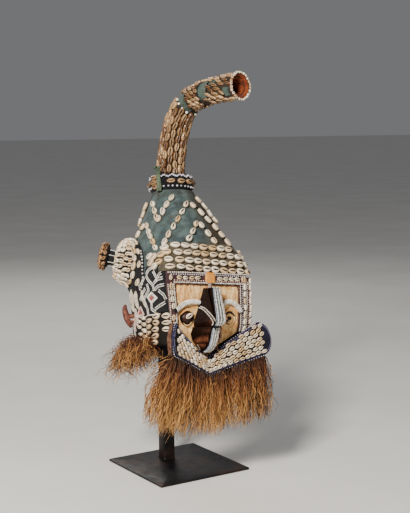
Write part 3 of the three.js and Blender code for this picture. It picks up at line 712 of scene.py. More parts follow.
@dataclass(frozen=True)
class Hide:
    """Scraped hide: tan and highlight colours, and a dark colour for stains and painted shade."""

    name: str
    tan: str
    light: str
    stain_and_shade: str

    def build(self) -> bpy.types.Material:
        """Cloudy tan with fine creases; the mark on the surface darkens it, as stains and as painted
        shade.
        """
        d = Dress(self.name)
        colour = d.mix(d.span(d.noise(13, 5), 0.4, 0.65), self.tan, self.light)
        streak = d.span(d.noise(9, 4, (0.6, 0.6, 1.4)), 0.54, 0.72, (0.0, 0.4))
        colour = d.mix(streak, colour, self.stain_and_shade)
        # the mark brings stains and painted shade, such as the ring round the face's eye sockets
        edge = d.maths("ADD", d.value("mark"), d.span(d.noise(6, 4), 0.3, 0.7, (-0.18, 0.18)))
        colour = d.mix(d.span(edge, 0.25, 0.75), colour, self.stain_and_shade)
        fold = {"Vector": d.where, "Scale": 1 / (4 * MM), "Randomness": 1.0}
        creases = d.add("TexVoronoi", fold, feature="DISTANCE_TO_EDGE").outputs["Distance"]
        bump = d.bump(d.span(creases, 0, 0.12), 0.28, d.bump(d.noise(10, 5), 1.6))
        rough = d.span(d.noise(5, 3), 0.3, 0.7, (0.5, 0.78))
        return d.wear(Base_Color=colour, Roughness=rough, Normal=bump, Specular_IOR_Level=0.3)


@dataclass(frozen=True)
class Wood:
    """Carved wood: body and worn colours, and a dark colour for its lines and for what the mark darkens,
    dark wood and painted shade.
    """

    name: str
    body: str
    worn: str
    grain_and_shade: str
    roughness: float = 0.5
    specular: float = 0.5

    def build(self) -> bpy.types.Material:
        """Upright lines in the wood, with worn patches that shine a little more; the mark darkens it."""
        d = Dress(self.name)
        lines = d.noise(2.6, 4, (1, 1, 9))
        colour = d.mix(d.span(lines, 0.4, 0.66), self.body, self.grain_and_shade)
        patch = d.span(d.noise(17, 4), 0.5, 0.68)
        colour = d.mix(patch, colour, self.worn)
        # the mark darkens towards the dark colour: the nose's own dark wood, and painted shade on the
        # mouth
        colour = d.mix(d.value("mark"), colour, self.grain_and_shade)
        low, high = self.roughness - 0.12, self.roughness + 0.12
        rough = d.span(lines, 0.35, 0.7, (low, high))
        bump = d.bump(lines, 0.5, d.bump(d.noise(8, 4), 0.9))
        shine = {"Specular_IOR_Level": self.specular}
        return d.wear(Base_Color=colour, Roughness=rough, Normal=bump, **shine)


@dataclass(frozen=True)
class Fibre:
    """Raffia: root, body and tip colours."""

    name: str
    root: str
    body: str
    tip: str

    def build(self) -> bpy.types.Material:
        """Painted shade darkens each fibre towards its root, the tip is paler, and every fibre has its
        own shade.
        """
        d = Dress(self.name)
        # painted shade: each fibre darkens towards its root, where the fibres crowd together
        colour = d.mix(d.span(d.value("mark"), 0.0, 0.44), self.root, self.body)
        pale = d.maths("MULTIPLY", d.value("mark"), d.value("tone"))
        colour = d.mix(d.span(pale, 0.2, 0.85), colour, self.tip)
        # dark fibres by tone, which is random and on the beard's fringe also carries painted shade
        dark = d.span(d.value("tone"), 0.1, 0.62, (0.95, 0.0))
        colour = d.mix(dark, colour, self.root)
        return d.wear(Base_Color=colour, Roughness=0.62)


@dataclass(frozen=True)
class Steel:
    """Blackened steel with a reddish-brown patina."""

    name: str
    black: str
    patina: str

    def build(self) -> bpy.types.Material:
        """Cloudy patina, fine brushing and an uneven wax gloss."""
        d = Dress(self.name)
        cloud = d.span(d.noise(45, 6), 0.46, 0.66)
        colour = d.mix(cloud, self.black, self.patina)
        speck = d.span(d.noise(5, 5), 0.58, 0.74, (0.0, 0.7))
        colour = d.mix(speck, colour, self.black)
        rough = d.span(d.noise(22, 5), 0.3, 0.7, (0.34, 0.6))
        bump = d.bump(d.noise(1.6, 4), 0.06, d.bump(d.noise(26, 3), 0.12))
        return d.wear(Base_Color=colour, Roughness=rough, Normal=bump, Metallic=0.55)


@dataclass(frozen=True)
class Matt:
    """The plain floor."""

    name: str
    shade: str

    def build(self) -> bpy.types.Material:
        """One pale matt colour with faint clouds."""
        d = Dress(self.name)
        tint = d.mix(d.span(d.noise(400, 3), 0.3, 0.7, (0.0, 0.25)), self.shade, "ffffff")
        return d.wear(Base_Color=tint, Roughness=0.8)


class Finish(Enum):
    """Every finish on the mask and its stand."""

    CROWN_CLOTH = Cloth("crown_cloth", "384a4e", "586b6b", "32281a")
    TRUNK_CLOTH = Cloth("trunk_cloth", "3d5654", "56695f", "291d12")
    OLIVE_CLOTH = Cloth("olive_cloth", "4a4434", "62594a", "2a2419")
    BROWN_CLOTH = Cloth("brown_cloth", "41242a", "5a3a3a", "20100f", 0.7)
    DARK_CLOTH = Cloth("dark_cloth", "07080c", "101319", "040405", 0.9)
    NAVY = Cloth("navy_cloth", "0b0c1e", "15172c", "06060e", 0.9)
    TIE_CLOTH = Cloth("tie_cloth", "4a5846", "637059", "2e3529", 0.8)
    LINING_CLOTH = Cloth("lining_cloth", "702a10", "96481f", "250c05", 1.0)
    EDGING = Cloth("edging_cloth", "17133a", "2b274e", "0b0b16", 0.7)
    PALE_SHELL = Shells("pale_shell", "f4e7d0", "c9a87c", "1a0f08")
    # Browner cowries of the trunk and collar, also made darker as painted shade for the light that falls
    # off up the trunk.
    BROWN_SHELL = Shells("brown_shell", "b08d63", "5f3d21", "100803")
    SEED_SHELL = Shells("seed_shell", "a57a4e", "5c371c", "140a05")
    BEADS = Glass("glass_beads", "857a6a")
    FACE_HIDE = Hide("face_hide", "d49a58", "f3cf94", "4a2a16")
    PATCH_HIDE = Hide("patch_hide", "cf8530", "e39f4c", "8a4c1e")
    BACK_HIDE = Hide("back_hide", "482a1c", "70503d", "1e100a")
    CHEEK_HIDE = Hide("cheek_hide", "0a0503", "140b07", "050302")
    IVORY = Hide("ivory", "d2a468", "efcb92", "7a4f2a")
    PINK_HIDE = Hide("pink_hide", "a88a80", "c9b4a8", "4c332c")
    PALE_HIDE = Hide("pale_hide", "a39784", "cfc5b4", "4f4639")
    DARK_WOOD = Wood("dark_wood", "120703", "1e0e07", "080302", 0.6, 0.1)
    EYE_WOOD = Wood("eye_wood", "28110a", "4c2517", "0c0502", 0.42, 0.3)
    RED_WOOD = Wood("red_wood", "57301e", "70442e", "150804", 0.6, 0.05)
    EAR_WOOD = Wood("ear_wood", "66392e", "8f5f50", "351b15", 0.6, 0.2)
    RAFFIA = Fibre("raffia", "221004", "82451a", "dea860")
    STEEL = Steel("blackened_steel", "101012", "33221c")
    FLOOR = Matt("pale_floor", "dcdad6")


@dataclass(frozen=True)
class Pose:
    """How the mask sits on its post: leaned back, rolled to one side and moved."""

    lean_back: float = 12.5
    roll: float = 6.3
    place: tuple = (-4.4, -19.7, 361.4)

    def turn(self) -> Array:
        """The turn about Y by the roll after the turn about X by the lean."""
        lean, roll = math.radians(-self.lean_back), math.radians(self.roll)
        about_x = np.array(
            [[1, 0, 0], [0, math.cos(lean), -math.sin(lean)], [0, math.sin(lean), math.cos(lean)]]
        )
        about_y = np.array(
            [[math.cos(roll), 0, math.sin(roll)], [0, 1, 0], [-math.sin(roll), 0, math.cos(roll)]]
        )
        return about_y @ about_x

    def world(self, points: Array) -> Array:
        """Points of the mask as millimetres over the stand's plate."""
        return points @ self.turn().T + np.array(self.place)

    def mask(self, points: Array) -> Array:
        """Points over the stand's plate in the mask's frame."""
        return (points - np.array(self.place)) @ self.turn()

    def down(self) -> Array:
        """The way that things hang, in the mask's frame."""
        return np.array([0.0, 0.0, -1.0]) @ self.turn()


POSE = Pose()


def linked(name: str, data: bpy.types.ID) -> bpy.types.Object:
    """A new object of some data, in the scene.

    Args:
        name: its name.
        data: a mesh, camera or lamp.

    Returns:
        The object.
    """
    thing = bpy.data.objects.new(name, data)
    bpy.context.scene.collection.objects.link(thing)
    return thing


class Bench:
    """Makes Blender pieces of finished shapes, dresses them and reports each one."""

    def __init__(self) -> None:
        """Starts with no material made."""
        self.materials: dict[Finish, bpy.types.Material] = {}
        self.triangles = 0

    def dressed(self, finish: Finish) -> bpy.types.Material:
        """The material of a finish, made once."""
        if finish not in self.materials:
            self.materials[finish] = finish.value.build()
        return self.materials[finish]

    def put(
        self,
        name: str,
        shape: Shape,
        finish: Finish,
        slot: str,
        *solids: str,
        upright: bool = False,
    ) -> None:
        """Puts one piece in the scene.

        Args:
            name: the piece's name.
            shape: its surface.
            finish: its look.
            slot: the record's material slot; not used.
            solids: the solids that it stands for.
            upright: whether it belongs to the stand, which doesn't lean.
        """
        points = (shape.points if upright else POSE.world(shape.points)) * MM
        used = shape.faces >= 0
        corners = used.sum(1)
        mesh = bpy.data.meshes.new(name)
        mesh.vertices.add(len(points))
        mesh.vertices.foreach_set("co", points.astype(np.float32).ravel())
        mesh.loops.add(int(corners.sum()))
        mesh.loops.foreach_set("vertex_index", shape.faces[used].astype(np.int32))
        mesh.polygons.add(len(corners))
        starts = np.concatenate([[0], np.cumsum(corners)[:-1]])
        mesh.polygons.foreach_set("loop_start", starts.astype(np.int32))
        mesh.update(calc_edges=True)
        mesh.validate()
        mesh.polygons.foreach_set("use_smooth", np.full(len(mesh.polygons), True))
        for label, values in (("mark", shape.mark), ("tone", shape.tone)):
            kept = mesh.attributes.new(label, "FLOAT", "POINT")
            kept.data.foreach_set("value", values.astype(np.float32))
        dye = mesh.attributes.new("dye", "FLOAT_COLOR", "POINT")
        tinted = np.concatenate([shape.dye, np.ones((len(points), 1))], 1)
        dye.data.foreach_set("color", tinted.astype(np.float32).ravel())
        mesh.materials.append(self.dressed(finish))
        piece = linked(name, mesh)
        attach(piece, "root")
        if solids:
            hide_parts(*solids)
        triangles = int((corners - 2).sum())
        self.triangles += triangles
        LOG.info("%s: %d triangles", name, triangles)


HEAD_STATIONS = np.array(
    [
        [-90, 106, 6, 95, 112, 5, 2.3, 0],
        [-62, 110, 6, 106, 116, 5, 2.3, 0],
        [-20, 116, 6, 126, 116, 7, 2.3, 0],
        [20, 118, 5, 129, 114, 8, 2.3, 0],
        [100, 118, 1, 130, 112, 9, 2.3, 0],
        [132, 116, 0, 127, 110, 6, 2.3, 0],
        [165, 110, 0, 117, 105, 4, 2.2, 1],
        [197, 101, 0, 105, 98, 3, 2, 3],
        [230, 89, 0, 90, 88, 2.4, 2, 6],
        [312, 50, 0, 50, 50, 2, 2, 20],
    ],
    float,
)


@dataclass(frozen=True)
class Head:
    """The head's surface, a rounded square in every level section.

    The columns of its stations are height, half width, sideways shift, depth in front and
    behind, squareness in front and behind, and shift towards the back.
    """

    stations: Array = field(default_factory=lambda: HEAD_STATIONS)

    def section(self, z: Array) -> list[Array]:
        """The section's seven values at a height, averaged a little up and down it.

        Args:
            z: heights.

        Returns:
            The seven values, each for all the heights.
        """
        z = np.asarray(z, float)
        near = [np.clip(z + step, -90, 316) for step in (-9, -3, 3, 9)]
        heights, *columns = self.stations.T
        return [sum(np.interp(n, heights, c) for n in near) / len(near) for c in columns]

    def point(self, angle: Array, z: Array, offset: Array = 0) -> Array:
        """A point on the head, grown by an offset.

        The radius solves |x/a|^n + |y/b|^n = 1 along the angle, where a and b are the section's
        half sizes and n its squareness, in front or behind.

        Args:
            angle: radians from straight ahead, positive to the mask's left.
            z: height.
            offset: distance outside the surface.

        Returns:
            The points.
        """
        half, shift, front, back, square_front, square_back, aft = self.section(z)
        across, ahead = np.sin(angle), np.cos(angle)
        depth = np.where(ahead > 0, front, back) + offset
        square = np.where(ahead > 0, square_front, square_back)
        term = (np.abs(across) / (half + offset)) ** square + (np.abs(ahead) / depth) ** square
        radius = term ** (-1 / square)
        return xyz(shift + radius * across, aft - radius * ahead, z)

    def seats(self, degrees: Array, z: Array, offset: float = 0) -> Seats:
        """Places on the head, lying level and facing out of it.

        Args:
            degrees: from straight ahead, positive to the mask's left.
            z: heights.
            offset: distance outside the surface.

        Returns:
            The places.
        """
        angle = np.radians(np.asarray(degrees, float))
        z = np.asarray(z, float)
        level = self.point(angle + 0.01, z, offset) - self.point(angle - 0.01, z, offset)
        rise = self.point(angle, z + 1, offset) - self.point(angle, z - 1, offset)
        return Seats(self.point(angle, z, offset), unit(level), unit(np.cross(level, rise)))

    def front(self, x: Array, z: Array, offset: Array = 0) -> Array:
        """A point on the front of the head by its sideways position.

        Args:
            x: sideways places.
            z: heights.
            offset: distance outside the surface.

        Returns:
            The points.
        """
        half, shift, front, _, square, _, aft = self.section(z)
        u = np.minimum(np.abs(x - shift) / (half + offset), 0.995)
        return xyz(x, aft - (front + offset) * (1 - u**square) ** (1 / square), z)

    def front_seats(self, x: Array, z: Array, offset: float) -> Seats:
        """Places on the front of the head, lying level.

        Args:
            x: sideways places.
            z: heights.
            offset: distance outside the surface.

        Returns:
            The places.
        """
        x, z = np.broadcast_arrays(np.asarray(x, float), np.asarray(z, float))
        level = self.front(x + 1, z, offset) - self.front(x - 1, z, offset)
        rise = self.front(x, z + 1, offset) - self.front(x, z - 1, offset)
        return Seats(self.front(x, z, offset), unit(level), unit(np.cross(level, rise)))

    def line(self, knots: list, offset: float) -> tuple[Array, Array]:
        """A path over the head, with twelve points for each knot.

        Args:
            knots: pairs of degrees and height.
            offset: distance outside the surface.

        Returns:
            The path, and the way that the head faces along it.
        """
        steps = np.linspace(0, len(knots) - 1, 12 * len(knots))
        degrees, z = read(np.array(knots, float), np.arange(len(knots)), steps).T
        seats = self.seats(degrees, z, offset)
        return seats.centre, seats.out


HEAD = Head()


def patch(surface: Surface, rows: int, columns: int) -> Array:
    """A grid of points of a surface over u and v from 0 to 1.

    Args:
        surface: makes points of u, across, and v, up.
        rows: points up it.
        columns: points across it.

    Returns:
        Rows by columns by 3.
    """
    u, v = np.meshgrid(np.linspace(0, 1, columns), np.linspace(0, 1, rows))
    return surface(u, v)


def layer(surface: Surface, lifts: tuple, rows: int, columns: int) -> Shape:
    """The closed layer between two lifts of a surface.

    Args:
        surface: makes points of u, across, of v, up, and of a lift.
        lifts: the lifts of its outside and its underside.
        rows: points up it.
        columns: points across it.

    Returns:
        The layer.
    """
    outer, inner = (patch(lambda u, v: surface(u, v, lift), rows, columns) for lift in lifts)
    return slab(outer, inner)


def stationed(stations: Array, z: Array) -> list[Array]:
    """The values that stations, listed from the top down, have at a height."""
    known = np.array(stations, float)[::-1]
    return [np.interp(z, known[:, 0], column) for column in known.T[1:]]


@dataclass
class Stand:
    """The square plate and post."""

    plate: float = 250
    thick: float = 5
    post: float = 30
    post_y: float = 54
    post_top: float = 648
    gap: float = 0.4

    @staticmethod
    def outline(side: float, corner: float) -> Array:
        """A square with round corners, as a ring of points in the plane.

        Args:
            side: its side.
            corner: radius of its corners.

        Returns:
            The points.
        """
        turn = np.radians(np.linspace(0, 90, 6))
        start = np.repeat(np.arange(4), len(turn))
        angle = np.tile(turn, 4) + start * math.pi / 2
        middle = np.radians(45 + 90 * start)
        reach = (side / 2 - corner) * math.sqrt(2)
        x = reach * np.cos(middle) + corner * np.cos(angle)
        y = reach * np.sin(middle) + corner * np.sin(angle)
        return np.stack([x, y], 1)

    def column(self, levels: list, corner: float, y: float) -> Shape:
        """Square rings stacked at heights, each with its own side.

        Args:
            levels: pairs of height and side.
            corner: radius of the corners.
            y: where its middle is, from front to back.

        Returns:
            The closed column.
        """
        rings = []
        for z, side in levels:
            flat = self.outline(side, min(corner, side / 2))
            rings.append(xyz(flat[:, 0], flat[:, 1] + y, z))
        return loft(np.stack(rings))

    def build(self, bench: Bench) -> None:
        """Makes the plate with eased edges, and the post on its weld.

        Args:
            bench: takes the pieces.
        """
        side, top = self.plate, self.thick
        levels = [(0, side - 1.4), (0.7, side), (top - 0.7, side), (top - 0.2, side - 0.5)]
        levels += [(top, side - 1.6), (top, side * 0.5)]
        plate = self.column(levels, 3.5, 0)
        bench.put("plate_steel", plate, Finish.STEEL, "steel", "base_plate", upright=True)
        foot = top + self.gap
        levels = [(foot, self.post + 3.4), (foot + 1.2, self.post + 2.4), (foot + 2.6, self.post)]
        levels += [(z, self.post) for z in np.linspace(foot + 4, self.post_top - 1, 24)]
        levels += [(self.post_top, self.post - 1.5)]
        post = self.column(levels, 3.2, self.post_y)
        bench.put("post_steel", post, Finish.STEEL, "steel", "stand_post", upright=True)


@dataclass
class Crown:
    """The helmet's wall and the hollow cone of the crown, with its zigzag of cowries.

    A line of cowries is given by its two ends, each in degrees and height, and its count.
    """

    wall: float = 6
    rim: float = -62
    seam: float = 104
    top: float = 314
    shell: tuple = (20.5, 13.6, 8.4)
    columns: int = 160
    lines: tuple = (
        (-11, 271, -46, 172, 6),
        (4, 270, 33, 178, 6),
        (-6.5, 219, -20.6, 182, 3),
        (2.5, 217, 13.9, 180, 3),
        (-38, 288, -59, 235, 4),
        (-80, 277, -64, 240, 3),
        (-80, 221, -56.8, 164, 5),
        (-92, 223, -110, 188, 3),
        (30, 288, 49, 237, 4),
        (73, 277, 58, 241, 3),
        (76, 221, 58, 170, 4),
        (90, 223, 110, 188, 3),
        (172, 270, 137, 190, 5),
        (188, 270, 223, 190, 5),
        (176, 219, 162, 187, 3),
        (184, 219, 198, 187, 3),
        (150, 286, 131, 240, 3),
        (112, 277, 124, 243, 3),
        (210, 286, 229, 240, 3),
        (248, 277, 236, 243, 3),
    )

    def skin(self, heights: Array, offset: float, rough: float) -> Array:
        """Rings of the head's surface with creases of a depth, at heights.

        Args:
            heights: one for each ring.
            offset: distance outside the head's surface.
            rough: depth of the creases.

        Returns:
            Rings by points by 3.
        """
        angle = circle(self.columns)
        points = HEAD.point(angle, heights[:, None], offset)
        crease = ripple(points, 34, 3) * 0.6 + ripple(points, 11, 4) * 0.3
        return HEAD.point(angle, heights[:, None], offset + crease * rough - rough * 0.6)

    def helmet(self) -> Shape:
        """The cylinder of the helmet, open below and above."""
        heights = np.linspace(self.rim, self.seam, 44)
        return slab(self.skin(heights, 0, 0.9), self.skin(heights, -self.wall, 0.4), wrap=True)

    def cone(self) -> Shape:
        """The cone with its closed top and its hollow, browned towards the mask's left and darkened under
        the collar with painted shade.
        """
        outer = self.skin(np.linspace(self.seam + 0.4, self.top, 58), 0, 1.3)
        inner = self.skin(np.linspace(self.seam + 0.4, self.top - self.wall, 30), -self.wall, 0.4)
        caps = [lerp(ring, ring.mean(0), 0.92)[None] for ring in (outer[-1], inner[-1])]
        rings = np.concatenate([caps[0], outer[::-1], inner, caps[1]])
        brown = ease(rings[..., 0] + ripple(rings, 40, 14) * 9, -18, 42) * ease(-rings[..., 1], -40, 30)
        # painted shade under the collar
        collar_shadow = 0.3 * ease(rings[..., 2], 285, 306)
        return loft(rings, mark=np.maximum(brown * 0.9, collar_shadow))

    def line(self, degrees: tuple, heights: tuple, count: int) -> Seats:
        """Places along the straight way between two places on the cone, lying along it.

        Args:
            degrees: of its two ends.
            heights: of its two ends.
            count: number of places.

        Returns:
            The places.
        """
        ends = HEAD.point(np.radians(degrees), np.array(heights, float))
        spot = lerp(ends[0], ends[1], np.linspace(0, 1, count)[:, None])
        aft = HEAD.section(spot[:, 2])[6]
        seats = HEAD.seats(np.degrees(np.arctan2(spot[:, 0], aft - spot[:, 1])), spot[:, 2])
        return Seats(seats.centre, np.broadcast_to(ends[1] - ends[0], spot.shape), seats.out)

    def build(self, bench: Bench) -> None:
        """Makes the wall, the cone and its cowries.

        Args:
            bench: takes the pieces.
        """
        bench.put("helmet_cloth", self.helmet(), Finish.DARK_CLOTH, "dark_cloth", "helmet_shell")
        bench.put("crown_cloth", self.cone(), Finish.CROWN_CLOTH, "cloth", "crown_cone")
        seats = Seats.join([self.line((a, b), (p, q), n) for a, p, b, q, n in self.lines])
        clear = ~(Bun(-1).covers(seats.centre) | Bun(1).covers(seats.centre))
        shells = sewn(seats.kept(clear), self.shell, 11, 6)
        bench.put("crown_shells", shells, Finish.PALE_SHELL, "cowrie")


def sewn(seats: Seats, size: tuple, seed: int, shake: float = 4) -> Shape:
    """Cowries sewn at places, each a little different.

    Args:
        seats: the places.
        size: length, width and height of a shell.
        seed: picks the differences.
        shake: how far they turn, in degrees.

    Returns:
        The shells.
    """
    rng = np.random.default_rng(seed)
    count = len(seats.centre)
    flip = np.where(rng.random(count) < 0.5, 180, 0)
    grown = [part * rng.normal(1, 0.06, count) for part in size]
    loose = seats.shaken(rng, shake, 0.4).turned(flip)
    return COWRIE.lay(loose, tuple(grown), rng.random(count))


def strung(path: Array, out: Array, size: float, dye: str, seed: int, step: float = 0.94) -> Shape:
    """A string of beads along a path on a surface.

    Args:
        path: the path.
        out: the way the surface faces along it.
        size: the beads' diameter.
        dye: their colour.
        seed: picks their differences.
        step: distance between beads, in diameters.

    Returns:
        The beads.
    """
    rng = np.random.default_rng(seed)
    seats = walk(path, out, size * step).raised(size * 0.42)
    count = len(seats.centre)
    wide = size * rng.normal(1, 0.06, count)
    seats = seats.shaken(rng, 5, size * 0.04)
    return BEAD.lay(seats, (size * 0.9, wide, wide / 2), rng.random(count), np.array(paint(dye)))


@dataclass
class Forehead:
    """Rows of cowries on a cloth band in columns, and the slanted ones beside it.

    A row is given by its height, and the numbers of its first and last column, where column 0
    stands over the nose. A slanted shell has its degrees, its height and its own turn.
    """

    low: float = 105
    high: float = 173
    spread: float = 52
    middle: float = -11
    step: float = 23.6
    slope: float = -0.032
    shell: tuple = (23, 15.6, 9)
    rows: tuple = ((110.5, -4, 6), (127.5, -4, 6), (145, -4, 4), (162, -3, 3))
    slanted: tuple = (
        (-49.5, 127, 14),
        (-48.5, 143.5, 20),
        (-45.5, 158, 14),
        (-56.5, 141, 33),
        (-60, 129, 36),
        (-54.5, 120, 30),
        (-62.5, 144, 40),
    )

    def row(self, height: float, first: int, last: int) -> Seats:
        """A row that steps both ways from its middle column and falls to the mask's left.

        Args:
            height: over the nose.
            first: its first column.
            last: its last column.

        Returns:
            The places.
        """
        angle = np.radians(np.linspace(-62, 58, 361))
        level = HEAD.point(angle, np.full(len(angle), height), 1.6)
        path = HEAD.point(angle, height + self.slope * (level[:, 0] - self.middle), 1.6)
        seats = HEAD.seats(np.degrees(angle), path[:, 2], 1.6)
        run = travelled(path)
        at = np.interp(self.middle, path[:, 0], run) + self.step * np.arange(first, last + 1)
        way = resample(path, at + 1) - resample(path, at - 1)
        return Seats(resample(path, at), way, read(seats.out, run, at))

    def band(self, u: Array, v: Array, lift: float) -> Array:
        """A point of the cloth band, which narrows a little upwards."""
        angle = math.radians(self.spread) * (2 * u - 1) * (1 - 0.12 * v)
        return HEAD.point(angle, lerp(self.low, self.high, v), lift)

    def build(self, bench: Bench) -> None:
        """Makes the band and its shells.

        Args:
            bench: takes the pieces.
        """
        cloth = layer(self.band, (1.6, 0.3), 30, 110)
        bench.put("forehead_band", cloth, Finish.OLIVE_CLOTH, "cowrie", "forehead_cowries")
        seats = [self.row(*row) for row in self.rows]
        degrees, heights, turns = np.array(self.slanted, float).T
        for sign in (1, -1):
            places = HEAD.seats(degrees * sign, heights - 3 * (sign < 0), 1.2)
            seats.append(places.turned(turns * sign))
        shells = sewn(Seats.join(seats), self.shell, 21)
        bench.put("forehead_shells", shells, Finish.PALE_SHELL, "cowrie")


@dataclass
class Face:
    """The beaded frame and the hide of the face, with its patch.

    An edge that leans is a pair of sideways places, at its lower and its upper end.
    """

    middle: float = -5
    left: tuple = (-103, -113.5)
    inner_left: tuple = (-90, -101)
    inner_right: float = 78
    right: float = 117
    top: float = 103
    band: float = 27
    bottom: float = -34
    panel_top: float = 75.5
    cheek: float = -34
    chin: float = -84
    bead: str = "dccfc4"
    sockets: tuple = (-69, 46)

    def bar(self, left: tuple, right: tuple, low: float, high: float, depth: float) -> Shape:
        """A strip of cloth on the front of the head, between two edges and two heights.

        Args:
            left: its edge on the mask's right, straight or leaning.
            right: its other edge.
            low: lower height.
            high: upper height.
            depth: how far it stands out.

        Returns:
            The strip.
        """
        left, right = np.broadcast_to(left, 2), np.broadcast_to(right, 2)

        def place(u: Array, v: Array, lift: float) -> Array:
            """A point of the strip."""
            points = HEAD.front(lerp(lerp(*left, v), lerp(*right, v), u), lerp(low, high, v), lift)
            points[..., 1] += ripple(points, 12, 5) * 0.3
            return points

        return layer(place, (depth, 1.3), 24, 48)

    def on_frame(self, x0: float, z0: float, x1: float, z1: float) -> tuple[Array, Array]:
        """A straight path on the frame and the way it faces.

        Args:
            x0: sideways place of its start.
            z0: height of its start.
            x1: sideways place of its end.
            z1: height of its end.

        Returns:
            The path and the facing.
        """
        t = np.linspace(0, 1, 60)
        seats = HEAD.front_seats(lerp(x0, x1, t), lerp(z0, z1, t), 6)
        return seats.centre, seats.out

    def frame_beads(self) -> Shape:
        """Spaced bead rows along the frame's edges, in pale, pinkish and blue-grey glass."""
        low, top = self.top - self.band, self.top
        rows = [(self.left[1], top - 2.5, self.right, top - 2.5, self.bead, 1.25)]
        rows += [(self.left[1] + 4, top - 7, self.right, top - 7, "a9a6b0", 1.6)]
        rows += [(self.inner_left[1] - 2, low + 6.5, self.right, low + 6.5, "c79f92", 1.7)]
        rows += [(self.inner_left[1] - 2, low + 2, self.right, low + 2, "e2dcd4", 1.2)]
        edges = [(-112.3, -102.6, self.bead, 1.3), (-102, -91.5, "e4ddd2", 1.2)]
        edges += [(80, 80, self.bead, 1.2), (87, 86, "a8a3ad", 1.5), (100, 98, self.bead, 1.2)]
        edges += [(108, 105, "b99a90", 1.6), (115, 112, "e2dcd4", 1.15)]
        rows += [(upper, low - 1, lower, self.bottom + 2, *look) for upper, lower, *look in edges]
        beads = []
        for number, (x0, z0, x1, z1, dye, gap) in enumerate(rows):
            beads.append(strung(*self.on_frame(x0, z0, x1, z1), 3.7, dye, 30 + number, gap))
        return Shape.join(beads)

    def frame_shells(self) -> Shape:
        """Small cowries: level in the band, and upright at its corners and down the sides."""
        mid = self.top - self.band / 2
        level = np.array([-89, -73.5, -56, -39.5, 22, 38.5, 55, 71.5])
        seats = HEAD.front_seats(level, mid - 1, 6)
        heights = np.array([70, 54.5, 40, 25, -3, -18])
        left = HEAD.front_seats(lerp(-98, -107, (heights + 18) / 88), heights, 6).turned(90)
        heights = np.arange(self.bottom + 9, mid, 16.0)
        share = (heights - self.bottom) / (mid - self.bottom)
        lines = [lerp(92, 93, share), lerp(109, 112, share)]
        sides = [HEAD.front_seats(line, heights, 6).turned(90) for line in lines]
        corners = HEAD.front_seats(np.array([-107.5, 88]), mid, 6).turned(90)
        shells = [sewn(seats, (14.5, 9.6, 5), 41), sewn(corners, (15, 9, 5), 43)]
        shells.append(sewn(Seats.join([left, *sides]), (15.5, 8.6, 5), 42, 6))
        return Shape.join(shells)

    def low_edge(self, x: Array) -> Array:
        """The hide's lower edge: it slopes from the cheeks down to the chin."""
        share = np.minimum(1, np.abs(x - self.middle) / 80)
        return lerp(self.chin, self.cheek, share)

    def skin(self, u: Array, v: Array, offset: float, rough: float) -> Array:
        """A point of the hide: creases and hollow eye sockets of a roughness, on the head.

        Args:
            u: 0 to 1 across.
            v: 0 to 1 up.
            offset: distance outside the head.
            rough: share of the creases and sockets.

        Returns:
            The points.
        """
        x = lerp(lerp(*self.inner_left, v), self.inner_right, u)
        z = lerp(self.low_edge(x), self.panel_top, v)
        flat = HEAD.front(x, z, offset)
        creased = ripple(flat * [1.8, 1, 0.6], 22, 6) * 0.8 + ripple(flat, 8, 7) * 0.3
        creased += 0.5 * ripple(flat * [1, 1, 3], 16, 15) * ease(z, 40, 70)
        socket = sum(2.6 * bell(np.hypot(x - eye, z + 2), 0, 22) for eye in self.sockets)
        return HEAD.front(x, z, offset + rough * (creased - socket - 0.6))

    def hide(self) -> Shape:
        """The hide: darker round its edges, stained in streaks, and with painted shade in a ring round
        each eye.
        """
        outer = patch(lambda u, v: self.skin(u, v, 4, 1), 140, 150)
        x, z = outer[..., 0], outer[..., 2]
        gap = np.minimum(self.panel_top - z, np.minimum(x - lerp(-89, -98, (z + 34) / 110), 78 - x))
        edge = (1 - ease(gap, 1, 7)) * 0.8
        right, left = self.sockets
        # painted shade: a dark ring round each eye socket
        rim = 0.2 * bell(np.hypot((x - right) / 1.05, z + 3), 21, 5)
        rim = rim + 0.2 * bell(np.hypot(x - left, z + 3), 19, 5)
        streaks = 0.35 * ease(ripple(outer * [6, 1, 0.6], 24, 16), 0.55, 1.1)
        inner = patch(lambda u, v: self.skin(u, v, 1.3, 0), 140, 150)
        return slab(outer, inner, mark=np.clip(edge + rim + streaks, 0, 1))

    def torn_edge(self) -> Shape:
        """The rolled and torn edge of the hide, along its top and down its right side."""
        t = np.linspace(0, 1, 150)
        rolls = []
        edges = ((-100, 74.5, 77, 73), (-99, 74, -89.5, -28), (77, 73, 74, -26))
        for seed, (x0, z0, x1, z1) in enumerate(edges, 17):
            seats = HEAD.front_seats(lerp(x0, x1, t), lerp(z0, z1, t), 4.4)
            path = seats.centre + UP * (ripple(seats.centre, 14, seed) * 1.2)[:, None]
            thick = 1.5 + 0.8 * ripple(seats.centre, 9, seed + 3)
            rolls.append(tube(path, seats.out, np.clip(thick, 0.6, 2.4), np.clip(thick, 0.6, 2.2), 8))
        return Shape.join(rolls)

    def patch_on_brow(self) -> Shape:
        """The square patch over the nose, with round corners."""
        half_wide, half_high, height = 13, 12.2, 90

        def place(u: Array, v: Array) -> Array:
            """A point of the flat square: each side bends in by the eighth power of the other."""
            side, rise = 2 * u - 1, 2 * v - 1
            x = self.middle + half_wide * side * np.sqrt(1 - 0.32 * rise**8)
            return xyz(x, 0, height + half_high * rise * np.sqrt(1 - 0.32 * side**8))

        flat = patch(place, 24, 24)
        pillow = 1.5 * (1 - np.abs((flat[..., 0] - self.middle) / half_wide) ** 4)
        pillow = pillow + ripple(flat, 9, 8) * 0.3
        outer = HEAD.front(flat[..., 0], flat[..., 2], 9 + pillow)
        return slab(outer, HEAD.front(flat[..., 0], flat[..., 2], 1.5))

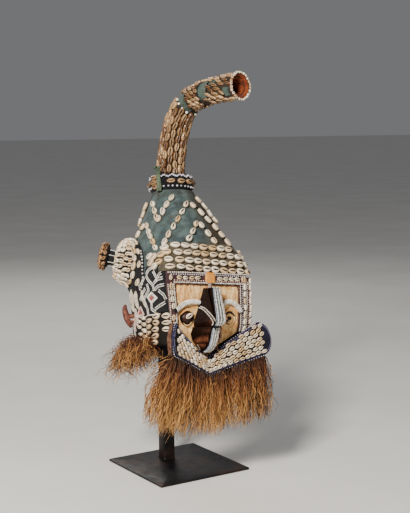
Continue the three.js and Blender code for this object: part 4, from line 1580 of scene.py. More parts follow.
    def build(self, bench: Bench) -> None:
        """Makes the frame, the hide and the patch.

        Args:
            bench: takes the pieces.
        """
        low = self.top - self.band
        bars = [self.bar(self.left[1], self.right, low, self.top, 6)]
        bars.append(self.bar(self.left, tuple(x - 0.4 for x in self.inner_left), self.bottom, low, 6))
        bars.append(self.bar(self.inner_right + 0.4, self.right, self.bottom, low, 6))
        bench.put("frame_cloth", Shape.join(bars), Finish.BROWN_CLOTH, "beads", "face_frame")
        bench.put("frame_beads", self.frame_beads(), Finish.BEADS, "beads")
        bench.put("frame_shells", self.frame_shells(), Finish.PALE_SHELL, "cowrie")
        bench.put("face_skin", self.hide(), Finish.FACE_HIDE, "hide", "face_panel")
        bench.put("hide_edge", self.torn_edge(), Finish.BACK_HIDE, "hide")
        bench.put("patch_hide", self.patch_on_brow(), Finish.PATCH_HIDE, "hide", "forehead_patch")
        tab = self.bar(self.middle - 5, self.middle + 2, 66, 79, 8)
        bench.put("patch_tab", tab, Finish.PINK_HIDE, "hide")


@dataclass
class Wedge:
    """A carved wedge on the face.

    Its stations hold height, half width to the mask's left, ridge depth and half width to the
    mask's right.
    """

    stations: Array
    middle: float = -5
    panel: float = 4

    def skin(self, x: Array, z: Array, relief: Surface) -> Array:
        """A point of its surface: from the ridge the flanks fall in a hollow sweep.

        Args:
            x: sideways places.
            z: heights.
            relief: depth of carving at both.

        Returns:
            The points.
        """
        left, ridge, right = stationed(self.stations, z)
        share = np.abs(x - self.middle) / np.where(x < self.middle, right, left)
        flat = HEAD.front(x, z, self.panel)[..., 1]
        away, height = [0, 0.13, 0.2, 0.4, 0.6, 0.8, 1], [1, 1, 0.92, 0.62, 0.38, 0.18, 0.04]
        climb = np.interp(share, away, height)
        return xyz(x, lerp(flat, ridge, climb) - relief(x, z), z)

    def shape(self, relief: Surface, shade: Surface) -> Shape:
        """The wedge's closed body.

        Args:
            relief: depth of carving, of the sideways place and the height.
            shade: how dark the wood is, of the same.

        Returns:
            The body.
        """
        low, high = self.stations[:, 0].min(), self.stations[:, 0].max()

        def place(u: Array, v: Array) -> Array:
            """A point of the wedge's front."""
            z, share = lerp(low, high, v), 2 * u - 1
            left, _, right = stationed(self.stations, z)
            return self.skin(self.middle + share * np.where(share < 0, right, left), z, relief)

        outer = patch(place, 80, 70)
        inner = outer.copy()
        inner[..., 1] = HEAD.front(outer[..., 0], outer[..., 2], self.panel - 2)[..., 1]
        return slab(outer, inner, mark=shade(outer[..., 0], outer[..., 2]))


NOSE_STATIONS = np.array(
    [[66, 12, -160, 18], [49, 19, -164, 23], [21, 29, -168, 34], [-14, 33, -171, 44], [-22, 31, -158, 44]]
)

MOUTH_STATIONS = np.array(
    [[-22.6, 33, -152, 46], [-38, 37, -148, 48], [-56, 28, -140, 36], [-80, 8, -123, 9]]
)


@dataclass
class Strip:
    """A beaded strip that hangs over a wedge's ridge.

    Its stations hold height, sideways middle, half width and depth.
    """

    wedge: Wedge
    stations: tuple
    dyes: tuple = ("7389a6", "efece6", "4f5c70", "ebe8e2", "47655c", "f1eee8", "bfa7a0")

    def at(self, u: Array, z: Array, lift: float) -> Array:
        """A point of the strip: u runs from -1 to 1 across it."""
        middle, half, depth = stationed(self.stations, z)
        return xyz(middle + u * half, depth - lift + 1.2 * u**2, z)

    def span(self) -> tuple[float, float]:
        """Its lower and upper ends."""
        return self.stations[-1][0], self.stations[0][0]

    def ground(self, relief: Surface) -> Shape:
        """The cloth of the strip, down to the wood that it lies on.

        Args:
            relief: depth of the wedge's carving.

        Returns:
            The cloth.
        """
        low, high = self.span()
        outer = patch(lambda u, v: self.at(2 * u - 1, lerp(low, high, v), 0), 40, 14)
        wood = self.wedge.skin(outer[..., 0], outer[..., 2], relief)[..., 1] + 1
        inner = outer.copy()
        inner[..., 1] = np.maximum(wood, outer[..., 1] + 2)
        return slab(outer, inner)

    def beads(self, seed: int) -> Shape:
        """Upright rows of beads, each row its own colour.

        Args:
            seed: picks their differences.

        Returns:
            The beads.
        """
        rows = []
        low, high = self.span()
        z = np.linspace(high, low, 50)
        for number, share in enumerate(np.linspace(-0.9, 0.9, len(self.dyes))):
            path = self.at(share + 0 * z, z, 0.2)
            path[:, 1] -= 0.4 * np.sin(z / 3 + number)
            out = np.tile([0.25 * share, -1.0, 0.1], (len(z), 1))
            rows.append(strung(path, out, 3.5, self.dyes[number], seed + number, 0.98))
        return Shape.join(rows)


@dataclass
class Features:
    """Nose, mouth, eyes and brows."""

    nose: Wedge = field(default_factory=lambda: Wedge(NOSE_STATIONS))
    mouth: Wedge = field(default_factory=lambda: Wedge(MOUTH_STATIONS))
    eye_z: float = -2
    right_eye: float = -68
    left_eye: float = 47.5

    def nose_relief(self, x: Array, z: Array) -> Array:
        """The nostril wings with a groove behind them, and the eased tip.

        Args:
            x: sideways places.
            z: heights.

        Returns:
            How far the carving stands out of the wedge.
        """
        away = np.abs(x + 7)
        wing = 4.5 * bell(away, 24, 8) * bell(z, -9, 12) - 2.2 * bell(away, 37, 4) * bell(z, -9, 14)
        return wing - 2.5 * ease(-z, 12, 24)

    def mouth_relief(self, x: Array, z: Array) -> Array:
        """Two full lips with a narrow slit between them.

        Args:
            x: sideways places.
            z: heights.

        Returns:
            How far the carving stands out of the wedge.
        """
        ring = np.hypot((x + 20) / 15, (z + 60) / 11)
        full = 4.6 * (1 - ease(ring, 0.6, 1.3))
        return full - 3.6 * bell(z, -60, 1.9) * (1 - ease(ring, 0.6, 1.1)) + bell(z, -33, 5)

    def mouth_shade(self, x: Array, z: Array) -> Array:
        """How dark the mouth's wood is: painted shade everywhere but on the lips, a little less under the
        nostril, painted light on the cheek of the left, and a painted shadow in the slit between the
        lips.

        Args:
            x: sideways places.
            z: heights.

        Returns:
            0 to 1 or a little more.
        """
        ring = np.hypot((x + 20) / 15, (z + 60) / 11)
        nostril = bell(x, -17, 12) * bell(z, -30, 9)
        # the lips keep their own colour and the cheek on the mask's left gets painted light; the rest
        # gets painted shade
        lips_and_painted_light = np.maximum(1 - ease(ring, 1.2, 1.9), 0.8 * ease(x, 4, 16))
        return 1 - np.maximum(lips_and_painted_light, 0.3 * nostril) + 0.7 * bell(z, -60, 2) * (ring < 1)

    def nose_shade(self, x: Array, z: Array) -> Array:
        """How dark the nose is: nearly black but for a lighter patch low on its right wing."""
        return 1 - 0.5 * bell(x, -20, 7) * bell(z, -12, 9)

    def line_on(
        self, wedge: Wedge, knots: list, relief: Surface, lift: float
    ) -> tuple[Array, Array]:
        """A smooth path on a wedge through sideways places and heights, and the way it faces.

        Args:
            wedge: nose or mouth.
            knots: pairs of sideways place and height.
            relief: depth of its carving.
            lift: distance outside it.

        Returns:
            The path and the facing.
        """
        flat = curve(np.array(knots, float), 60)
        x, z = flat.T
        path = wedge.skin(x, z, relief)
        out = unit(np.cross(wedge.skin(x + 1, z, relief) - path, wedge.skin(x, z + 1, relief) - path))
        return path + out * lift, out

    def wing_beads(self) -> Shape:
        """The double line of beads that slants down the nose's right flank."""
        rows = []
        knots = [(-37, 22), (-30, 17), (-24, 7), (-19, -5), (-15, -19)]
        for number, shift in enumerate((-0.9, 2.7)):
            moved = [(x + shift, z + shift * 0.6) for x, z in knots]
            path, out = self.line_on(self.nose, moved, self.nose_relief, 0.4)
            rows.append(strung(path, out, 3.0, "ddd3c8", 70 + number))
        return Shape.join(rows)

    def chin_beads(self) -> Shape:
        """The pale thread round the chin, and the pair of strands beside the lower strip."""
        rim = [(-32, -62), (-24, -69), (-16, -76), (-9, -79.5), (-2, -76)]
        rows = [strung(*self.line_on(self.mouth, rim, self.mouth_relief, 0.3), 2.4, "a59887", 74)]
        for number, shift in enumerate((0, 5)):
            knots = [(12 + shift, -25), (21 + shift, -32), (27 + shift, -43), (23 + shift, -56)]
            path, out = self.line_on(self.mouth, knots, self.mouth_relief, 0.3)
            rows.append(strung(path, out, 2.8, ("9c6a4c", "c79c80")[number], 76 + number))
        return Shape.join(rows)

    def eye(self, x: float, carved: bool) -> dict[str, Shape]:
        """An eye: its rim, its ball and its inlaid cowrie with a painted highlight, or its pupil, seated
        on the hide.

        Args:
            x: sideways place.
            carved: whether it is the dark one with the bright inlaid cowrie and a pale lump under it, a
                painted highlight.

        Returns:
            The shapes by name.
        """
        seat = HEAD.front_seats(np.array([x]), self.eye_z, 2.4)
        across, _, out = (axis[0] for axis in seat.axes())
        axes = np.array([across, np.cross(out, across), out])
        centre = seat.centre[0]
        turn = circle(48)
        point = 1 - 0.1 * np.cos(2 * turn)

        def ring(radius: float, depth: float) -> Array:
            """A ring round the eye: a circle drawn out to soft points at its corners."""
            flat = xyz(radius * np.cos(turn) * 1.06, radius * np.sin(turn) * 0.98 * point, depth)
            return centre + flat @ axes

        def lump(dx: float, dz: float, depth: float, size: tuple) -> Shape:
            """A lump beside and before the eye's middle."""
            return blob(centre + np.array([dx, dz, depth]) @ axes, axes, size)

        rim = [(12.5, -1), (16.6, -1), (17.2, 2.0), (16.2, 4.0), (14.4, 4.2), (12.8, 2.4)]
        ball = [(13.2, -1), (13.2, 1.8), (12.0, 4.2), (9.0, 6.4), (5.0, 7.6), (1.2, 8.0)]
        shapes = {
            "rim": loft(np.stack([ring(r, d) for r, d in rim]), loop=True),
            "ball": loft(np.stack([ring(r, d) for r, d in ball])),
        }
        if carved:
            spot = Seats(centre + np.array([[3.4, 4.6, 5.4]]) @ axes, across[None], out[None])
            shell = COWRIE.lay(spot.turned(30), (21, 12, 4.8), np.array([0.3]))
            # the pale lump low on the ball is a painted highlight
            shapes["inlay"] = Shape.join([shell, lump(-3.0, -7.6, 4.4, (4.2, 1.2, 1.5))])
        else:
            pupil = [lump(-1.5, 0.0, 6.8, (6.2, 5.4, 2.8)), lump(-6.0, -5.0, 5.2, (4.4, 4.0, 2.4))]
            pupil.append(lump(-4.5, -11.2, 3.4, (8.5, 1.8, 1.8)))
            shapes["pupil"] = Shape.join(pupil)
        return shapes

    def lid(self, x: float, rise: float, drop: float, span: float, thick: float) -> Shape:
        """An eyelid: a rolled edge that arches over or under an eye.

        Args:
            x: the eye's sideways place.
            rise: height of its middle over the eye's.
            drop: how far its ends fall.
            span: half its length.
            thick: half its depth.

        Returns:
            The edge.
        """
        t = np.linspace(-1, 1, 30)
        z = self.eye_z + rise - drop * t**2
        seats = HEAD.front_seats(x + span * t, z, 4.2)
        high = thick * (1 - 0.7 * t**2)
        return tube(seats.centre + seats.out * 1.8, seats.out, high, high * 1.3, 10)

    def brow(self, knots: list) -> tuple[Shape, Shape]:
        """A brow: a cloth core wound with turns of small beads.

        Args:
            knots: sideways and upright places that it passes through.

        Returns:
            The core and the beads.
        """
        flat = curve(np.array(knots, float), 60)
        x, z = flat[:, 0], flat[:, 1]
        edge = ease(np.abs(x - 5), 76, 88) * 3
        seats = HEAD.front_seats(x, z, 9.8)
        path = seats.centre + seats.out * edge[:, None]
        core = tube(path, seats.out, 4.1, 4.1, 12)
        around = 11
        count = int(run_length(path) / 3.0) * around
        at = np.linspace(0, 59, count)
        steps = np.arange(60)
        middle, out = read(path, steps, at), read(seats.out, steps, at)
        ahead = unit(np.gradient(middle, axis=0))
        side = unit(np.cross(ahead, out))
        up = np.cross(side, ahead)
        spin = (2 * math.pi * np.arange(count) / around)[:, None]
        reach = side * np.cos(spin) + up * np.sin(spin)
        swell = 4.5 * (1 - 0.35 * np.abs(at[:, None] / 29.5 - 1) ** 6)
        wound = Seats(middle + reach * swell, np.cross(ahead, reach), reach)
        rng = np.random.default_rng(len(knots) + int(abs(x[0])))
        shade = np.repeat(rng.random(count // around + 1), around)[:count]
        tone = 0.6 * shade + 0.1 * rng.random(count)
        beads = BEAD.lay(wound, (2.9, 2.6, 1.5), tone, np.array(paint("fbf5ea")))
        return core, beads

    def knots(self) -> Shape:
        """The dark knots at the nose's tip and at the right brow's foot."""
        lumps = [blob(np.array([-9.0, -166.0, -23.0]), np.eye(3), (7.5, 5.0, 4.2))]
        lumps.append(blob(np.array([-13.0, -163.0, -25.5]), np.eye(3), (5.0, 4.0, 3.0)))
        foot = HEAD.front_seats(np.array([-99.5]), 12.5, 10).centre[0]
        lumps.append(blob(foot, np.eye(3), (4.6, 4.0, 5.2)))
        return Shape.join(lumps)

    def build(self, bench: Bench) -> None:
        """Makes all the features of the face.

        Args:
            bench: takes the pieces.
        """
        nose = self.nose.shape(self.nose_relief, self.nose_shade)
        bench.put("nose_wood", nose, Finish.RED_WOOD, "dark_wood", "nose")
        mouth = self.mouth.shape(self.mouth_relief, self.mouth_shade)
        bench.put("mouth_wood", mouth, Finish.RED_WOOD, "red_wood", "mouth")
        over_nose = ((66, -7, 9.5, -163.5), (38, -7, 10.5, -169), (14, -4.5, 12, -171.5))
        over_nose += ((-8, -3, 13, -173.5), (-16, -5, 11, -173.5), (-22, -7.5, 8, -168))
        over_mouth = ((-23.4, -6, 7, -159), (-32, -6.5, 9.5, -155), (-51, -7, 9.5, -149))
        over_mouth += ((-66, -8, 9, -142), (-75, -11, 8.5, -135), (-80, -16, 8, -129))
        strips = [("nose", Strip(self.nose, over_nose), self.nose_relief, 60)]
        strips.append(("mouth", Strip(self.mouth, over_mouth), self.mouth_relief, 80))
        for name, strip, relief, seed in strips:
            node = name + "_bead_strip"
            # the strips' cloth is dark wood colour: painted shade on the side walls that show beside the
            # beads
            bench.put(name + "_strip_cloth", strip.ground(relief), Finish.DARK_WOOD, "beads", node)
            bench.put(name + "_strip_beads", strip.beads(seed), Finish.BEADS, "beads")
        small = Shape.join([self.wing_beads(), self.chin_beads()])
        bench.put("wing_beads", small, Finish.BEADS, "beads")
        bench.put("dark_knots", self.knots(), Finish.DARK_CLOTH, "dark_cloth")
        for side, x, carved in (("right", self.right_eye, True), ("left", self.left_eye, False)):
            shapes = self.eye(x, carved)
            rim = Finish.DARK_WOOD if carved else Finish.IVORY
            bench.put(side + "_eye_rim", shapes["rim"], rim, "dark_wood", side + "_eye")
            ball = Finish.EYE_WOOD if carved else Finish.IVORY
            bench.put(side + "_eye_ball", shapes["ball"], ball, "dark_wood")
            if carved:
                bench.put(side + "_eye_inlay", shapes["inlay"], Finish.PALE_SHELL, "beads")
            else:
                bench.put(side + "_pupil", shapes["pupil"], Finish.EYE_WOOD, "dark_wood")
                # a dark crescent under the upper lid: painted shade cast by the lid and brow
                crescent = self.lid(x, 14, 9, 15, 3.6)
                bench.put(side + "_lid_shade", crescent, Finish.EYE_WOOD, "dark_wood")
            lids = [self.lid(x, 18.5, 11, 17, 3.4), self.lid(x, -16.5, -9, 13, 1.6)]
            bench.put(side + "_eyelids", Shape.join(lids), Finish.FACE_HIDE, "hide")
        brows = {
            "right": [(-97, 15), (-90, 22.5), (-76, 30.5), (-57, 34), (-36, 32.5)],
            "left": [(20, 21), (27, 31), (42, 36), (57, 33), (71, 23), (79, 12)],
        }
        for side, knots in brows.items():
            core, beads = self.brow(knots)
            bench.put(side + "_brow_core", core, Finish.DARK_CLOTH, "beads", side + "_brow")
            bench.put(side + "_brow_beads", beads, Finish.BEADS, "beads")


@dataclass
class Sided:
    """Something that the head has on both sides: -1 is the mask's right and 1 its left."""

    sign: int

    @property
    def name(self) -> str:
        """The side's own name."""
        return "right" if self.sign < 0 else "left"


@dataclass
class Side(Sided):
    """One side of the head: beaded panel, cheek cowries, ear and pale blades.

    Places are degrees from straight ahead and heights. The bead lines are the ones seen on the
    mask's right, and the left side has the same.
    """

    start: float = 44
    end: float = 96
    low: float = 12
    high: float = 103

    def sheet(self, spans: tuple, depth: float, foot: float = 0.4) -> Shape:
        """A layer on the head between two angles and two heights.

        Args:
            spans: first and last degrees, lower and upper height.
            depth: lift of its outside.
            foot: lift of its underside.

        Returns:
            The layer.
        """
        start, end, low, high = spans

        def place(u: Array, v: Array, lift: float) -> Array:
            """A point of the layer."""
            angle = np.radians(self.sign * lerp(start, end, u))
            return HEAD.point(angle, lerp(low, high, v), lift)

        return layer(place, (depth, foot), 26, 34)

    def trail(self, knots: list, lift: float) -> tuple[Array, Array]:
        """A path over this side through knots given for the mask's right, and its facing."""
        return HEAD.line([(self.sign * -degrees, z) for degrees, z in knots], lift)

    def ground(self) -> Shape:
        """The dark cloth of the panel, with its tongue up beside the forehead."""
        panel = self.sheet((self.start, self.end, self.low, self.high), 2.6)
        return Shape.join([panel, self.sheet((52.5, 72, self.high, 121), 2.4)])

    def string(self, knots: list, size: float, dye: str, seed: int, lift: float = 2.6) -> Shape:
        """One string of beads through knots."""
        return strung(*self.trail(knots, lift), size, dye, seed, 0.98)

    def double(self, knots: list, seed: int) -> Shape:
        """Two strings of beads side by side through knots, with a dark line between them.

        Args:
            knots: degrees and heights.
            seed: picks differences.

        Returns:
            The beads.
        """
        path, out = self.trail(knots, 2.6)
        across = unit(np.cross(unit(np.gradient(path, axis=0)), out)) * 2.4
        pair = [(path + across * way, seed + way) for way in (-1, 1)]
        return Shape.join([strung(line, out, 2.3, "f0ede6", number, 0.98) for line, number in pair])

    def interlace(self) -> Shape:
        """The crossing double lines of white beads."""
        lines = [
            [(-70.6, 101.5), (-66.3, 89.8), (-59.4, 75.7), (-58.8, 63)],
            [(-58.1, 80.6), (-52.6, 87.8), (-47, 89.9)],
            [(-55.8, 83.5), (-50.3, 99.3), (-48, 102)],
            [(-57.6, 64.7), (-52.2, 72.5), (-46, 74)],
            [(-52.5, 63), (-47.1, 51.4), (-45.4, 40)],
            [(-46, 34), (-50.2, 29.5), (-58.4, 21.5)],
            [(-63.8, 34.5), (-63.8, 22.2), (-57.7, 14)],
            [(-60.5, 116.6), (-65.7, 112.7), (-69.9, 103.1)],
            [(-58.3, 108.9), (-54.3, 93.6)],
            [(-69.5, 81.7), (-67, 66), (-77.3, 47.8), (-71.2, 23.6), (-70.7, 11)],
            [(-74, 98), (-80, 84), (-86, 76)],
            [(-84.6, 46), (-80, 60), (-73, 72)],
        ]
        return Shape.join([self.double(knots, 100 + 5 * n) for n, knots in enumerate(lines)])

    def figure(self, corners: list, middle: tuple, dye: str, core: str, rows: int, seed: int) -> Shape:
        """A figure outlined in shrinking turns of beads, filled with another colour.

        Args:
            corners: degrees and heights.
            middle: where its turns shrink to.
            dye: colour of the outer turns.
            core: colour of the inner turns.
            rows: number of turns.
            seed: picks differences.

        Returns:
            The beads.
        """
        ring = np.array(corners + corners[:1], float)
        turns = []
        for turn in range(rows):
            share = 1 - turn / rows
            knots = lerp(np.array(middle, float), ring, share)
            paint_of = core if share < 0.62 else dye
            turns.append(self.string([tuple(k) for k in knots], 2.9, paint_of, seed + turn, 2.9))
        return Shape.join(turns)

    def figures(self) -> Shape:
        """The diamond and the triangle with red middles, and the row of beads under them."""
        diamond = [(-70, 51.6), (-62.2, 61.5), (-54.3, 46), (-63.4, 34.5)]
        shapes = [self.figure(diamond, (-62.8, 48.5), "efece4", "8c0f1e", 6, 200)]
        triangle = [(-84.6, 33), (-93, 11.5), (-78.5, 11.5)]
        shapes.append(self.figure(triangle, (-85.4, 17), "e6c9c4", "8c0f1e", 5, 220))
        shapes.append(self.string([(-95, 11.6), (-80, 4), (-70.7, 9.4), (-52, 9)], 3.6, "ddd6ca", 240))
        shapes.append(self.string([(-104, -10), (-105, -24), (-103.5, -36)], 4.2, "ece8de", 250, 1.5))
        return Shape.join(shapes)

    def cheek(self) -> Shape:
        """Level cowries down the cheek, closely packed, narrower at the back."""
        seats, sizes = [], []
        columns = [(45.8, 3.5, 3, 22.5, 0.3, 0), (56.5, 5, 5, 24, 1.6, 0), (68.5, -2.5, 4, 18.5, 1.4, 14)]
        columns += [(79, 4.5, 5, 16, 0.2, -18), (89, -2, 4, 14, -0.5, -24)]
        for degrees, top, count, length, drift, lean in columns:
            steps = np.arange(count)
            places = HEAD.seats(self.sign * (degrees + drift * steps), top - 14.4 * steps, 1.6)
            seats.append(places.turned(-self.sign * lean))
            sizes += [length] * count
        size = np.array(sizes)
        return sewn(Seats.join(seats), (size, size * 0.6, 8.0), 240 + self.sign, 6)

    def blade(self, spine: list, half: float, lift: float) -> Shape:
        """A pale folded blade of hide: a leaf that is raised along its spine.

        Args:
            spine: degrees and heights along it.
            half: half width.
            lift: height of its fold.

        Returns:
            The blade.
        """
        path, out = self.trail(spine, 1.5)
        across = unit(np.cross(unit(np.gradient(path, axis=0)), out))
        t = np.linspace(0, 1, len(path))[:, None]
        u = np.linspace(-1, 1, 13)[None]
        wide = half * np.sin(math.pi * np.clip(t * 0.94 + 0.03, 0, 1)) ** 0.75
        fold = lift * (1 - np.abs(u) ** 1.4) * np.sin(math.pi * np.clip(t * 0.9 + 0.06, 0, 1)) ** 0.6
        fold = fold + 0.9 * np.sin(5 * u + 7 * t)
        outer = path[:, None] + across[:, None] * (u * wide)[..., None]
        outer = outer + out[:, None] * (fold + 1.2)[..., None]
        return slab(outer, outer - out[:, None] * 1.8)

    def blades(self) -> Shape:
        """The pale blades between the panel and the ear."""
        leaves = [self.blade([(-103, 76), (-106, 50), (-101, 22)], 8.5, 7)]
        leaves.append(self.blade([(-93, 70), (-95, 50), (-90, 27)], 7.5, 6))
        leaves.append(self.blade([(-80.5, 70), (-80, 50), (-73.5, 27)], 4.6, 4))
        return Shape.join(leaves)

    def straps(self) -> Shape:
        """The pinkish hide under the blades, at the foot of the ear."""
        strap = self.blade([(-97, 30), (-97, 6), (-95, -14)], 8, 3.5)
        return Shape.join([strap, self.blade([(-108, 18), (-104, -2), (-101, -24)], 5, 3)])

    def ear(self) -> Shape:
        """A thick carved crescent that stands off the head on two lobes."""
        angle = math.radians(self.sign * 105)
        wall = HEAD.point(np.array(angle), np.array(12.0))
        out = np.array([math.sin(angle), -math.cos(angle), 0])
        level = np.cross(out, UP)
        knots = np.array([(21, 28), (23, 18), (20.5, 4), (17, -8), (12.5, -18), (8, -26)])
        flat = curve(knots, 50)
        path = wall + out * flat[:, :1] + UP * flat[:, 1:]
        t = np.linspace(0, 1, 50)
        swell = np.sin(math.pi * np.clip(t * 0.94 + 0.03, 0, 1)) ** 0.5
        pieces = [tube(path, level, 7.6 * swell, 8.6 * swell, 16)]
        for z, reach, thick in ((1.0, 19, 5.4), (-13.5, 13.5, 4.6)):
            t = np.linspace(1.5, reach, 12)[:, None]
            peg = wall + out * t + UP * z
            pieces.append(tube(peg, level, thick, thick * 1.3, 12))
        return Shape.join(pieces)

    def build(self, bench: Bench) -> None:
        """Makes the side's pieces.

        Args:
            bench: takes the pieces.
        """
        name = self.name
        panel = name + "_side_panel"
        bench.put(name + "_panel_cloth", self.ground(), Finish.DARK_CLOTH, "dark_cloth", panel)
        beads = Shape.join([self.interlace(), self.figures()])
        bench.put(name + "_panel_beads", beads, Finish.BEADS, "beads")
        cheek = self.sheet((self.start, 94, -60, 10.5), 1.6, 0.3)
        bench.put(name + "_cheek_cloth", cheek, Finish.CHEEK_HIDE, "hide")
        node = name + "_cheek_cowries"
        bench.put(name + "_cheek_shells", self.cheek(), Finish.PALE_SHELL, "cowrie", node)
        bench.put(name + "_blades", self.blades(), Finish.PALE_HIDE, "hide")
        bench.put(name + "_straps", self.straps(), Finish.PINK_HIDE, "hide")
        bench.put(name + "_ear_wood", self.ear(), Finish.EAR_WOOD, "red_wood", name + "_ear")


@dataclass
class Bun(Sided):
    """A hair bun on a back corner of the head, packed with cowries, with a knob on a neck."""

    azimuth: float = 57
    lift: float = 13.3
    level: float = 118
    reach: float = 149
    neck_end: float = 165
    knob_end: float = 190
    shadow: float = 68
    threads: int = 7
    shell: tuple = (14.8, 10, 7.5)

    def axes(self) -> tuple[Array, Array, Array, float]:
        """The axis, the side and up vectors, and the length that one unit of reach has."""
        turn = math.radians(self.azimuth)
        rise = math.tan(math.radians(self.lift))
        way = np.array([self.sign * math.sin(turn), math.cos(turn), rise])
        along = unit(way)
        side = unit(np.cross(along, UP))
        return along, side, np.cross(side, along), float(np.linalg.norm(way))

    def covers(self, points: Array) -> Array:
        """Whether points lie under the bun.

        Args:
            points: n by 3.

        Returns:
            True or false for each.
        """
        along = self.axes()[0]
        away = points - UP * self.level
        depth = away @ along
        beside = np.linalg.norm(away - depth[:, None] * along, axis=1)
        return (depth > 0) & (beside < self.shadow)

    def turned(self, profile: Array, turn: Array) -> Array:
        """Points of a turned profile of reaches and radii: rows by turns by 3.

        Args:
            profile: reaches and radii.
            turn: radians round the axis.

        Returns:
            The points.
        """
        along, side, up, stretch = self.axes()
        reach, radius = profile[:, 0, None, None], profile[:, 1, None, None]
        middle = UP * self.level + along * stretch * reach
        spin = turn[:, None]
        return middle + radius * (side * np.cos(spin) + up * np.sin(spin))

    def body(self, knots: list, sides: int = 72) -> Shape:
        """A turned body through profile knots."""
        return loft(self.turned(np.array(knots, float), circle(sides)))

    def packed(self, knots: list, pitch: float, spacing: float, lean: float, loose: float) -> Seats:
        """Staggered rings of places over a turned profile.

        Args:
            knots: the profile, as reaches and radii.
            pitch: distance between rings along the profile.
            spacing: distance between places round a ring.
            lean: degrees that the pieces turn from the profile's way.
            loose: how many degrees more they turn one way or the other.

        Returns:
            The places.
        """
        along, side, up, stretch = self.axes()
        flat = np.array(knots, float) * [stretch, 1]
        flat = np.concatenate([flat, flat[:, :1] * 0], 1)
        count = max(1, round(run_length(flat) / pitch))
        at = (np.arange(count) + 0.5) * run_length(flat) / count
        spots = resample(flat, at)
        ahead = resample(flat, at + 0.5) - resample(flat, at - 0.5)
        rng = np.random.default_rng(int(pitch * 10))
        seats = []
        for row, (spot, way) in enumerate(zip(spots, ahead)):
            number = max(1, round(2 * math.pi * spot[1] / spacing))
            turn = (2 * math.pi * (np.arange(number) + 0.5 * (row % 2)) / number)[:, None]
            radial = side * np.cos(turn) + up * np.sin(turn)
            centre = UP * self.level + along * spot[0] + radial * spot[1]
            run = unit(along * way[0] + radial * way[1])
            face = unit(radial * way[0] - along * way[1])
            seats.append(Seats(centre, run, face).turned(lean + loose * rng.normal(0, 1, number)))
        return Seats.join(seats)

    def seam(self, turn: Array, radius: Array, beyond: float) -> Seats:
        """Places where lines beside the bun's axis come out of the head.

        Args:
            turn: radians round the bun.
            radius: distance from its axis.
            beyond: millimetres past the head's surface.

        Returns:
            Places lying along the bun and facing out of it.
        """
        along, side, up, stretch = self.axes()
        radial = side * np.cos(turn)[:, None] + up * np.sin(turn)[:, None]
        reach = (np.linspace(30, 140, 331) * stretch)[:, None, None]
        start = UP * self.level + radial * np.broadcast_to(radius, turn.shape)[:, None]
        points = start + along * reach
        outside = clear_of_head(points.reshape(-1, 3)).reshape(points.shape[:2])
        first = np.argmax(outside, 0)
        spot = points[first, np.arange(len(turn))] + along * beyond
        return Seats(spot, np.broadcast_to(along, spot.shape), radial)

    def skirt(self) -> tuple[Shape, Seats, Seats]:
        """The dark skirt that spreads from the front of the bun over the head.

        Returns:
            The cloth, places for cowries along it and places along its outer edge.
        """
        swing = np.radians(np.linspace(-62, 76, 60))
        turn = (math.pi if self.sign < 0 else 0.0) - self.sign * swing
        bends = [-62, -30, -12, 0, 12, 25, 37, 50, 76]
        edge = np.interp(np.degrees(swing), bends, [60, 70, 79, 86, 91, 99, 103, 97, 78])
        share = np.linspace(0, 1, 9)
        rows = [self.seam(turn, lerp(53, edge, s), lerp(13.0, 1.4, s**0.7)) for s in share]
        outer = np.stack([row.centre for row in rows])
        along = self.axes()[0]
        cloth = slab(outer, outer - along * 2.4)
        normal = unit(np.cross(np.gradient(outer, axis=0), np.gradient(outer, axis=1)))
        normal = normal * np.sign((normal * along).sum(-1, keepdims=True))
        tangent = unit(np.gradient(outer, axis=1))
        belt = Seats(outer[3, 4::7], tangent[3, 4::7], normal[3, 4::7])
        second = Seats(outer[6, 8:52:11], tangent[6, 8:52:11], normal[6, 8:52:11])
        return cloth, Seats.join([belt, second]), Seats(outer[-1], tangent[-1], normal[-1])

    def build(self, bench: Bench) -> None:
        """Makes the bun, its skirt, its neck and its knob.

        Args:
            bench: takes the pieces.
        """
        name, end = self.name, self.reach - 1
        core = [(62, 0.5), (62, 50), (98, 52), (112, 52), (126, 49.5)]
        core += [(139, 43.5), (end, 33), (end, 0.5)]
        bench.put(name + "_bun_cloth", self.body(core), Finish.DARK_CLOTH, "cowrie", name + "_bun")
        dome = [(64, 52), (98, 52.5), (112, 52.5), (126, 50), (139, 44), (end - 2, 36)]
        seats = self.packed(dome, 11.2, 12.8, 16, 13)
        seats = seats.kept(clear_of_head(seats.centre))
        face = self.packed([(end - 1.5, 31), (end - 1.5, 22)], 10, 12, 10, 30)
        shells = sewn(Seats.join([seats, face]), self.shell, 300 + self.sign, 10)
        bench.put(name + "_bun_shells", shells, Finish.PALE_SHELL, "cowrie")
        cloth, belt, edge = self.skirt()
        bench.put(name + "_skirt_cloth", cloth, Finish.DARK_CLOTH, "dark_cloth")
        bench.put(name + "_skirt_shells", sewn(belt, (21, 11, 7), 310, 22), Finish.PALE_SHELL, "cowrie")
        beads = [strung(edge.centre[18:46], edge.out[18:46], 4.4, "dcdad4", 320, 1.9)]
        neck = [(self.reach - 0.5, 0.5), (self.reach - 0.5, 21), (self.reach + 4, 17.5)]
        neck += [(self.neck_end + 4, 18), (self.neck_end + 4, 0.5)]
        node = name + "_bun_neck"
        bench.put(name + "_neck_cloth", self.body(neck, 40), Finish.DARK_CLOTH, "dark_cloth", node)
        turn = 2 * math.pi * (np.arange(self.threads) + 0.25) / self.threads
        threads = self.turned(np.array([[self.reach + 1, 18.6], [self.neck_end + 3, 18.3]]), turn)
        hub = self.turned(np.array([[self.reach + 1, 0]]), turn)[0]
        for number in range(self.threads):
            path = lerp(threads[0, number], threads[1, number], np.linspace(0, 1, 9)[:, None])
            out = np.tile(unit(threads[0, number] - hub[number]), (9, 1))
